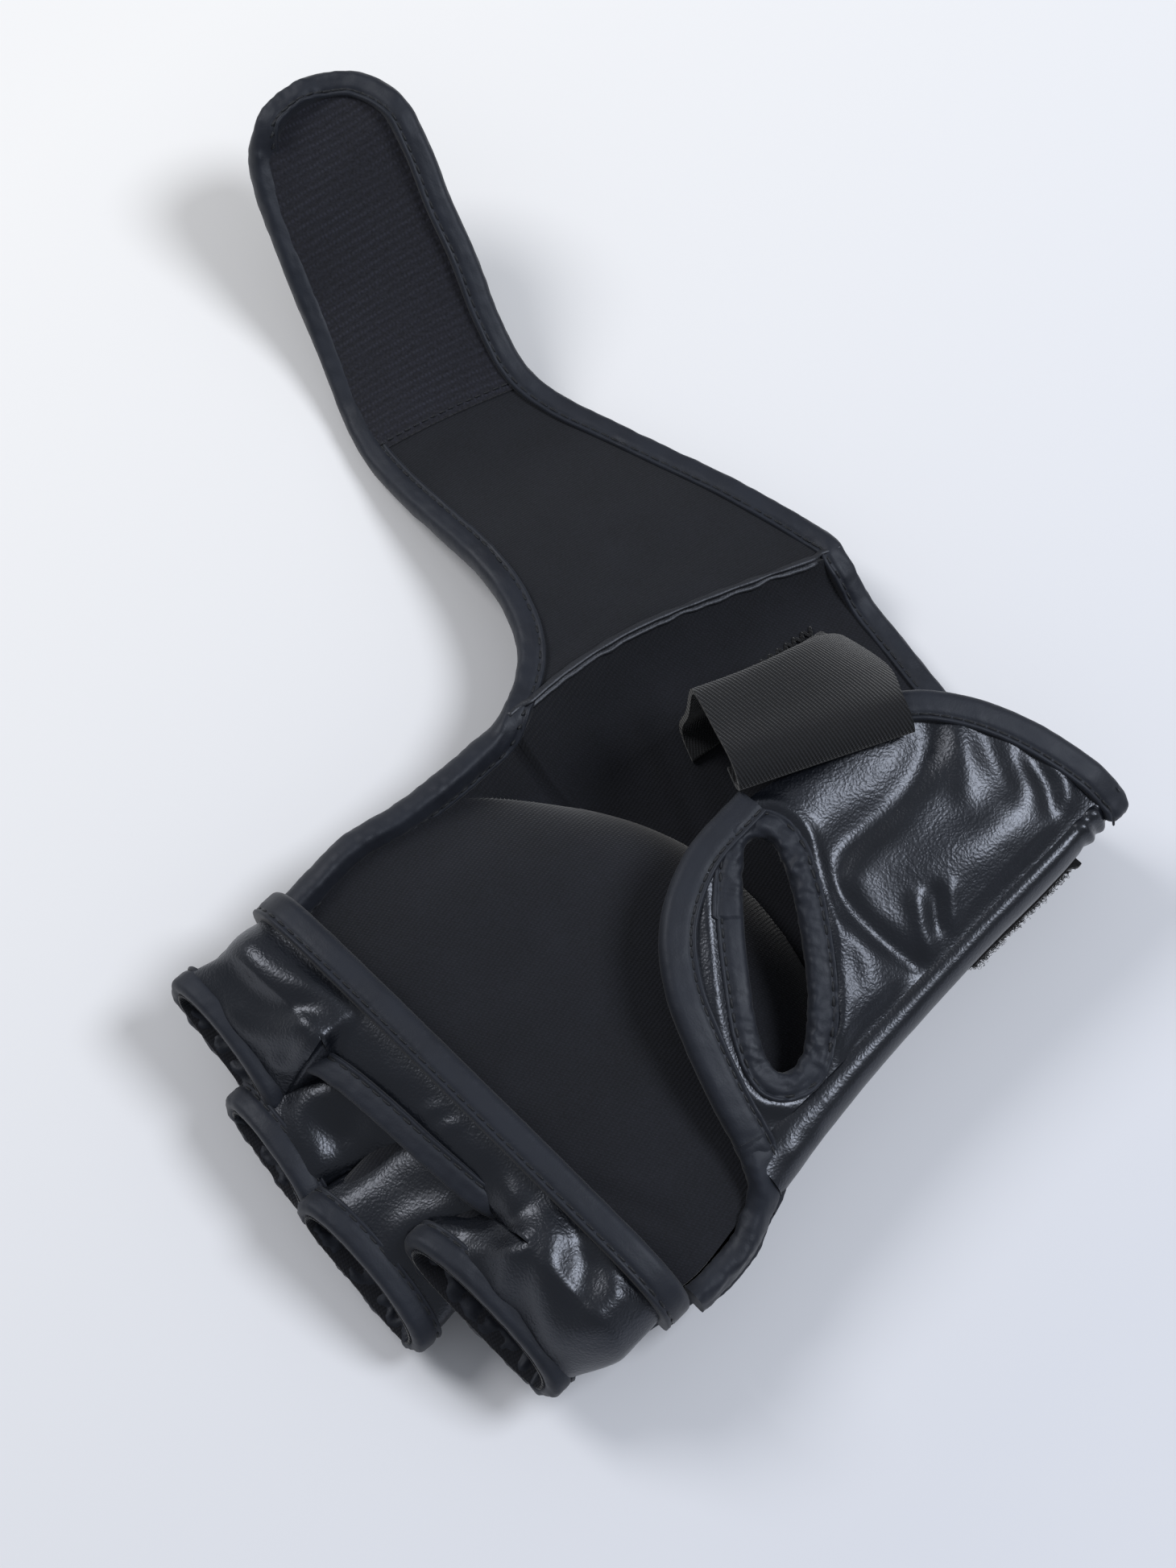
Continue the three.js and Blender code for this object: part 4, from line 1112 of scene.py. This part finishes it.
def make_hole_tape():
    line = lifted(hole_rim, panel_height)
    out = unit(hole_rim - hole_centre)
    along = out @ np.array([math.cos(-0.67), math.sin(-0.67)])
    across = out @ np.array([math.sin(0.67), math.cos(0.67)])
    gathers = 0.42 * np.abs(along) ** 8 + 0.16 * smooth(across * 2)
    past = (np.arange(len(line)) - nearest(hole_rim, hole_tape_end)) % len(line)
    overlap = 1 + 0.16 * np.maximum(0, 1 - past / 26)
    taped("thumb_hole", line, normals_on(line, panel_height), 1, ["thumb_hole_binding"], blend=seam_blend,
          closed=True, gather=0.06, seed=12, lip=1.3, gathers=gathers, under=False, pucker=3.4,
          grow=overlap)


def make_panel_tapes():
    line = lifted(free_edge[:seam_end + 4], panel_height)
    crinkle = 0.35 * smooth((line[:, 0] - 104) / 10)
    taped("palm_edge", line, normals_on(line, panel_height), 1, ["palm_edge_binding"], blend=seam_blend,
          seed=14, gathers=crinkle, gather=0.08)

    line = lifted(free_edge[seam_end - 6:], lambda x, y: panel_height(x, y) + clamp((x - seam_x) / 4))
    outward = clamp(np.arange(len(line)) / 26)[:, None] * 0.9
    facing = unit(mix(normals_on(line, panel_height), np.array([1.0, 0, 0]), outward))
    taped("side", line, facing, 1, ["side_binding"], blend=seam_blend, seed=15, gather=0.35)

    line = smooth_line([*lifted(cuff[:-5], panel_height)[::6], *cuff_corner], 150)
    turn = smooth((line[:, 0] - 110) / 8)
    facing = unit(mix(normals_on(line, panel_height), np.array([0.75, 0.1, 0.65]), turn[:, None]))
    rounded = np.sqrt(clamp((np.arange(len(line))[::-1] + 1.5) / 7))
    taped("cuff", line, facing, -1, ["cuff_binding"], blend=seam_blend, seed=16, gather=0.07,
          gathers=0.2 * turn, grow=rounded)


def hole_distance(x, y):
    """How far plan points lie outside the thumb hole's rim, negative inside it."""
    rim = hole_rim[::4]
    far = distance_to(x, y, np.vstack([rim, rim[:1]]))
    out_x, out_y = x - hole_centre[0], y - hole_centre[1]
    rim_x, rim_y = (rim - hole_centre).T
    turns = np.arctan2(rim_y, rim_x)
    order = np.argsort(turns)
    reach = np.interp(np.arctan2(out_y, out_x), turns[order], np.hypot(rim_x, rim_y)[order],
                      period=2 * math.pi)
    return np.where(np.hypot(out_x, out_y) < reach, -far, far)


def make_side_panel():
    y = np.linspace(30.0, 148.0, 300)[:, None]
    t = np.linspace(0, 1, 56)[None, :]
    edge = right_x(y)
    foot_z = hand_height(edge, y) - half_stack + 0.6
    head_z = panel_height(seam_x, y) + leather - 0.5
    weights = (1 - t) ** 3, 3 * t * (1 - t) ** 2, 3 * t**2 * (1 - t), t**3
    across = edge - 2.0, edge + 3.4, edge + 2.6, seam_x - 0.4
    up = foot_z, mix(foot_z, head_z, 0.35), head_z + 2.6, head_z
    x, z = (sum(w * value for w, value in zip(weights, values)) for values in (across, up))
    points = points_at(x, y, z)
    pucker = smooth((y - 130) / 10) + 0.35 * smooth((60 - y) / 20) + 0.06
    wave = 0.5 * np.sin(2 * math.pi * (y + 3.5 * t) / 4.3) * smooth((y - 132) / 6)
    wave = wave + ripples(51, 9)(points) * 0.6 * pucker
    normals = grid_normals(points)
    normals *= np.sign(normals[..., :1].mean())
    points = points + normals * (wave * np.sin(np.pi * t) ** 0.5)[..., None]
    piece = make_sheet("side_leather", points, sewn_leather, "leather")
    dress(piece, "hand", "leather", "radial_side_panel")


# Palm band and finger sleeves: the little and index sleeves run on from the band's leather
arch = smooth_line([(a * hand_width, b * palm_height) for a, b in band_arch_shares], 240)
little_columns = int(np.argmax(arch[:, 0] > 33))
index_columns = int(np.argmax(arch[:, 0] > 96))
band_front = -17.5
# Finger ends of the sleeves: centre, half sizes, and how the rim slants, tilts, bows and leans
sleeve_ends = {
    "little": ((15.0, -32.3, 20.0), (18.0, 7.4), -1.8, -1.6, -0.8, 1.2),
    "ring": ((38.5, -41.3, 14.8), (15.5, 7.0), -2.0, 0.3, -0.5, 1.0),
    "middle": ((71.5, -44.8, 14.6), (19.2, 7.2), -0.9, -3.6, -0.8, 1.6),
    "index": ((97.0, -33.4, 21.8), (21.5, 7.6), 0.3, -3.8, -0.6, 1.9),
}

# Degrees on the end's rim where the band's leather starts, where its closing run starts, and where that ends
sleeve_turns = {"little": (205, 15, -155), "index": (110, -25, -250)}


def oval(angles):
    """Across and up on a squarish oval."""
    return (np.sign(v) * np.abs(v) ** 0.8 for v in (np.cos(angles), np.sin(angles)))


def end_ring(name, angles, grow=0.0, back=0.0):
    (cx, cy, cz), (a, b), slant, tilt, bow, lean = sleeve_ends[name]
    c, s = oval(angles)
    y = cy + slant * c + bow * c**2 + lean * s + back
    return np.column_stack([cx + (a + grow) * c, y, cz + tilt * c + (b + grow) * s])


def sleeve_rings(base, end, rings, ease=1.7):
    """Rings of points from a sleeve's base to its end."""
    t = np.linspace(0, 1, rings)[:, None]
    up = smooth(t) * 0.5 + 0.5 * (1 - (1 - t) ** ease)
    shares = smooth(t), t, up
    return np.stack([mix(base[None, :, k], end[None, :, k], share) for k, share in enumerate(shares)], -1)


# Palm side of the little and index sleeves at the band, across and up, from where the arch ends
closing = {
    "little": [(33, 38.6), (36.5, 34), (37, 27), (34, 18), (25, 14), (10, 13.5), (3, 15.5), (1.5, 21.8)],
    "index": [
        (124.1, 21.8), (121, 14.5), (111, 12), (92, 13), (82, 18), (80.5, 26), (86, 32), (92.5, 36),
        (96, 39.2),
    ],
}

# Folds of the sleeves' leather: height, width, and the points of the line
sleeve_ridges = [
    (1.6, 4.6, [(4, -14), (12, -15), (21, -13), (29, -10)]),
    (-1.4, 3.4, [(6, -20), (14, -21), (22, -19), (28, -14)]),
    (1.4, 3.2, [(12, -26), (21, -25), (28, -20), (29, -16)]),
    (1.1, 2.2, [(26, -27), (31, -25), (32, -21), (33, -18)]),
    (0.5, 1.4, [(60, -13), (63, -9)]),
    (0.5, 1.4, [(65, -13), (68, -9)]),
    (2.0, 4.6, [(98, -12), (103, -19), (108, -23), (114, -24)]),
    (1.6, 4.2, [(115, -9), (117, -15), (116, -21)]),
    (-1.2, 5.6, [(106, -9), (109, -14), (112, -17)]),
    (1.6, 3.6, [(85, -12), (91, -15), (94, -20), (98, -26)]),
    (1.5, 3.6, [(78, -22), (74, -27), (72, -32), (75, -37)]),
    (-1.5, 3.6, [(84, -24), (81, -30), (82, -36)]),
    (1.6, 3.6, [(41, -23), (37, -27), (39, -32), (47, -33), (49, -37)]),
    (-1.5, 3.4, [(48, -23), (50, -28), (45, -29)]),
    (-1.0, 3.6, [(55, -24), (56, -31), (54, -39)]),
]


def make_band_leather():
    """The palm band's leather with the little and the index sleeve."""
    fronts = np.interp(arch[:, 0], [33, 37, 60, 80, 90, 96],
                       [band_front, -18.6, -18.0, -17.4, -17.2, band_front])
    rows = np.linspace(0, 1, 14)[:, None]
    middle = smooth((arch[:, 0] - 33) / 4) * smooth((96 - arch[:, 0]) / 7) * (arch[:, 1] > 30)
    droop = 6.8 * rows**1.9 * middle[None]
    band = points_at(arch[None, :, 0], mix(-5.5, fronts[None], rows), arch[None, :, 1] - droop)
    grids = [band]
    for name, run in (("little", arch[:little_columns + 1]), ("index", arch[index_columns:])):
        rest = smooth_line(closing[name], 84)[1:-1]
        base = np.insert(np.vstack([run, rest]), 1, band_front, axis=1)
        first, border, last = sleeve_turns[name]
        on_arch = mix(first, border, np.linspace(0, 1, len(run)))
        angles = np.radians(np.concatenate([on_arch, np.linspace(border, last, len(rest) + 2)[1:-1]]))
        grids.append(sleeve_rings(base, end_ring(name, angles, back=3.0), 22, 0.85))
    faces, start = [], 0
    for grid in grids:
        faces += grid_faces(*grid.shape[:2], wrap_columns=grid is not band, start=start)
        start += grid[..., 0].size
    points = np.vstack([grid.reshape(-1, 3) for grid in grids])
    flat = np.vstack([grid_flat(grid).reshape(-1, 3) for grid in grids])
    piece = make_mesh("palm_band_leather", points, faces, "leather", flat)
    fix_normals(piece, weld=0.02)
    wrinkle(piece, -7.4)
    thicken(piece, sewn_leather)
    across_joint(piece, finger_blend, "leather", "palm_band", "little_sleeve", "index_sleeve")


def make_middle_sleeves():
    angles = np.linspace(0, 2 * math.pi, 150)[:-1]
    c, s = oval(angles)
    for name, base_x, half in (("ring", 46.5, 16.0), ("middle", 74.0, 15.5)):
        base = points_at(base_x + half * c, -12.0, 22.0 + 9.6 * s)
        rings = sleeve_rings(base, end_ring(name, angles, back=3.0), 34, 1.5)
        piece = make_sleeve(f"{name}_sleeve_leather", rings, "leather")
        wrinkle(piece, -12)
        thicken(piece, sewn_leather)
        across_joint(piece, finger_blend, "leather", f"{name}_sleeve")


def make_sleeve_ends():
    angles = np.linspace(0, 2 * math.pi, 191)[:-1]
    for k, name in enumerate(sleeve_ends):
        centre = end_ring(name, angles, -0.9)
        normals = unit(end_ring(name, angles, 2.0) - centre)
        gathers = 0.7 * smooth(-np.sin(angles) * 1.5 + 0.2)
        taped(f"{name}_end", centre, normals, -1, [f"{name}_end_binding"], "sleeve_end", "fingers",
              closed=True, gather=0.1, seed=60 + k, lip=1.2, gathers=gathers, under=False)
        base = end_ring(name, angles, -2.0)
        base[:, 1] = -13.0
        base[:, 2] = mix(base[:, 2], 24.0 + 7.0 * np.sin(angles), 0.8)
        rings = sleeve_rings(base, end_ring(name, angles, -2.1), 16)
        piece = make_sleeve(f"{name}_sleeve_knit", rings, "knit")
        thicken(piece, sleeve_lining)
        across_joint(piece, finger_blend, "knit", f"{name}_sleeve_lining")


def wrinkle(piece, limit_y):
    """Moves the upper side's points by the sleeves' folds, and all points by small creases, past limit_y."""
    data = piece.data
    points, normals = np.empty((2, 3 * len(data.vertices)))
    data.vertices.foreach_get("co", points)
    data.vertices.foreach_get("normal", normals)
    points, normals = points.reshape(-1, 3) / mm - hand_origin, normals.reshape(-1, 3)
    x, y = points[:, 0], points[:, 1]
    creases = 0.3 * ripples(71, 18)(points) + 0.04 * ripples(72, 6)(points)
    move = (folds(x, y, sleeve_ridges) * smooth(normals[:, 2] * 2) + creases) * smooth((limit_y - y) / 4)
    data.vertices.foreach_set("co", place(points + normals * move[:, None]).ravel())
    data.update()


def thicken(piece, thickness):
    """Gives an open sheet its thickness, inward."""
    modifier = piece.modifiers.new("thickness", "SOLIDIFY")
    modifier.thickness = thickness * mm
    modifier.offset = -1
    graph = bpy.context.evaluated_depsgraph_get()
    data = bpy.data.meshes.new_from_object(piece.evaluated_get(graph), depsgraph=graph)
    piece.modifiers.clear()
    piece.data = data


# Line of the tape on the ring and middle sleeves
slit_points = [
    (32.5, -24.6, 28.5), (36, -23.2, 31.2), (42, -22.2, 32.8), (52, -21.4, 33.6), (64, -20.9, 33.8),
    (74, -20.2, 33.6), (81, -19.4, 32.6), (86, -17.8, 30.6),
]


def make_band_trim():
    line = np.insert(arch, 1, 0.0, axis=1)
    way = tangents(line)
    normals = unit(points_at(-way[:, 2], 0.0, way[:, 0]))
    taped("palm_band", line, normals, -1, ["palm_band_binding"], body="hand", gather=0.08, seed=17)
    inner = line - normals * 1.8
    grid = points_at(inner[None, :, 0], np.linspace(-4.0, -9.2, 8)[:, None], inner[None, :, 2])
    inward = np.broadcast_to(normals[None], grid.shape)
    piece = make_sheet("palm_band_knit", grid, thin_lining, "knit", normals=inward)
    dress(piece, "hand", "knit", "palm_band_lining")
    slit = smooth_line(slit_points, 150)
    normals = np.broadcast_to(unit(np.array([0.0, -0.36, 1.0])), slit.shape)
    taped("slit", slit, normals, 1, ["slit_binding"], body="fingers", gather=0.12, seed=18, lip=1.2,
          under=False)


# The webbing's lines where it is sewn, where it turns over and where it folds back, and its crest's height
elastic_root_shares = [(0.235, 0.6375), (0.286, 0.908)]
elastic_crest_shares = [(0.268, 0.625), (0.348, 0.888)]
elastic_front_shares = [(0.462, 0.553), (0.6, 0.8)]
elastic_lines = np.array([
    on_hand(shares) for shares in (elastic_root_shares, elastic_crest_shares, elastic_front_shares)
])
elastic_crest = 44.5


def elastic_row(t):
    """The webbing's line from the wrist to the thumb panel, at a share of its width."""
    root, crest, front = (mix(first, last, t) for first, last in elastic_lines)
    crest = crest + (2.6 * math.sin(math.pi * t), 0)
    way = unit(front - crest)
    side = np.array([-way[1], way[0]])
    sewn = float(lining_top(*root)) + 1.2
    ground = float(panel_height(*front)) + leather + 0.8
    top = elastic_crest - 16.5 * t**4.5
    over = mix(crest, front, 0.5) + side * 2.6 * t**3
    stations = [
        (root + way * 8, sewn), (root + way * 2.5, sewn + 0.2), (root + way * 0.4, sewn + 2.4),
        (mix(root, crest, 0.5) + way * 0.8, mix(sewn, top, 0.5)), (crest - way * 0.2, top - 2.6),
        (crest + way * 1.6, top), (over, mix(top, ground + 6.0, 0.55) + 1.2),
        (front - way * 5.8, ground + 7.0), (front - way * 2.0, ground + 6.2),
        (front + way * 0.2, ground + 3.6), (front - way * 1.4, ground + 1.0),
        (front - way * 6, ground + 0.4),
    ]
    return smooth_line([(*at, height) for at, height in stations], 240)


def make_elastic():
    grid = np.array([elastic_row(t) for t in np.linspace(0, 1, 110)])
    flat = grid_flat(grid)
    flat[..., 0] -= flat[:, -1:, 0]
    flat[..., 1] = np.linspace(0, elastic_width, len(grid))[:, None]
    half = grid_normals(grid) * webbing / 2
    piece = make_shell("elastic_webbing", grid + half, grid - half, "elastic",
                       np.vstack([flat.reshape(-1, 3)] * 2))
    across_joint(piece, roll_blend, "elastic", "elastic_strap")


def make_zigzag():
    """The bar of thread that sews the webbing to the wrist."""
    first, last = elastic_lines[0]
    count = 34
    aside = unit(np.array([first[1] - last[1], last[0] - first[0]]))
    line = mix(first, last, np.linspace(0.02, 1, count)[:, None])
    line = line + aside * np.where(np.arange(count) % 2, 3.6, 1.4)[:, None]
    knots = np.column_stack([line, lining_top(line[:, 0], line[:, 1]) + 0.35])
    centres, ways = (knots[1:] + knots[:-1]) / 2, unit(np.diff(knots, axis=0))
    ups = np.broadcast_to(np.array([0, 0, 1.0]), ways.shape)
    thread = make_threads("elastic_zigzag", centres, ways, np.cross(ways, ups), ups, 2.5, 0.34, "elastic")
    dress(thread, "hand", "elastic")


# Floor and light
def make_stage():
    size, depth = 3.0, -0.0003
    corners = [(-size, -size, depth), (size, -size, depth), (size, size, depth), (-size, size, depth)]
    data = bpy.data.meshes.new("floor")
    data.from_pydata(corners, [], [(0, 1, 2, 3)])
    data.materials.append(floor_material())
    added("floor", data)


def make_light(name, size, power, azimuth, elevation, distance, colour):
    data = bpy.data.lights.new(name, "AREA")
    data.shape = "DISK"
    data.size = size
    data.energy = power
    data.color = colour
    aim(added(name, data), azimuth, elevation, distance)


def make_lights():
    world = bpy.data.worlds.new("studio")
    world.use_nodes = True
    background = world.node_tree.nodes["Background"]
    background.inputs["Color"].default_value = (0.93, 0.96, 1.0, 1)
    background.inputs["Strength"].default_value = 0.36
    bpy.context.scene.world = world
    make_light("key", 0.56, 16, 140, 54, 1.6, (0.94, 0.965, 1.0))
    make_light("fill", 0.88, 20, -76, 45, 2.1, (1.0, 0.985, 0.965))


make_camera()
make_stage()
make_lights()
make_lining()
make_hand_pads()
make_back_leather()
make_hand_tapes()
make_welt()
make_strap()
make_loop_patch()
make_fuzz()
make_thumb_panel()
make_hole_tape()
make_panel_tapes()
make_side_panel()
make_band_leather()
make_middle_sleeves()
make_sleeve_ends()
make_band_trim()
make_elastic()
make_zigzag()

bpy.context.scene.view_settings.view_transform = "Standard"
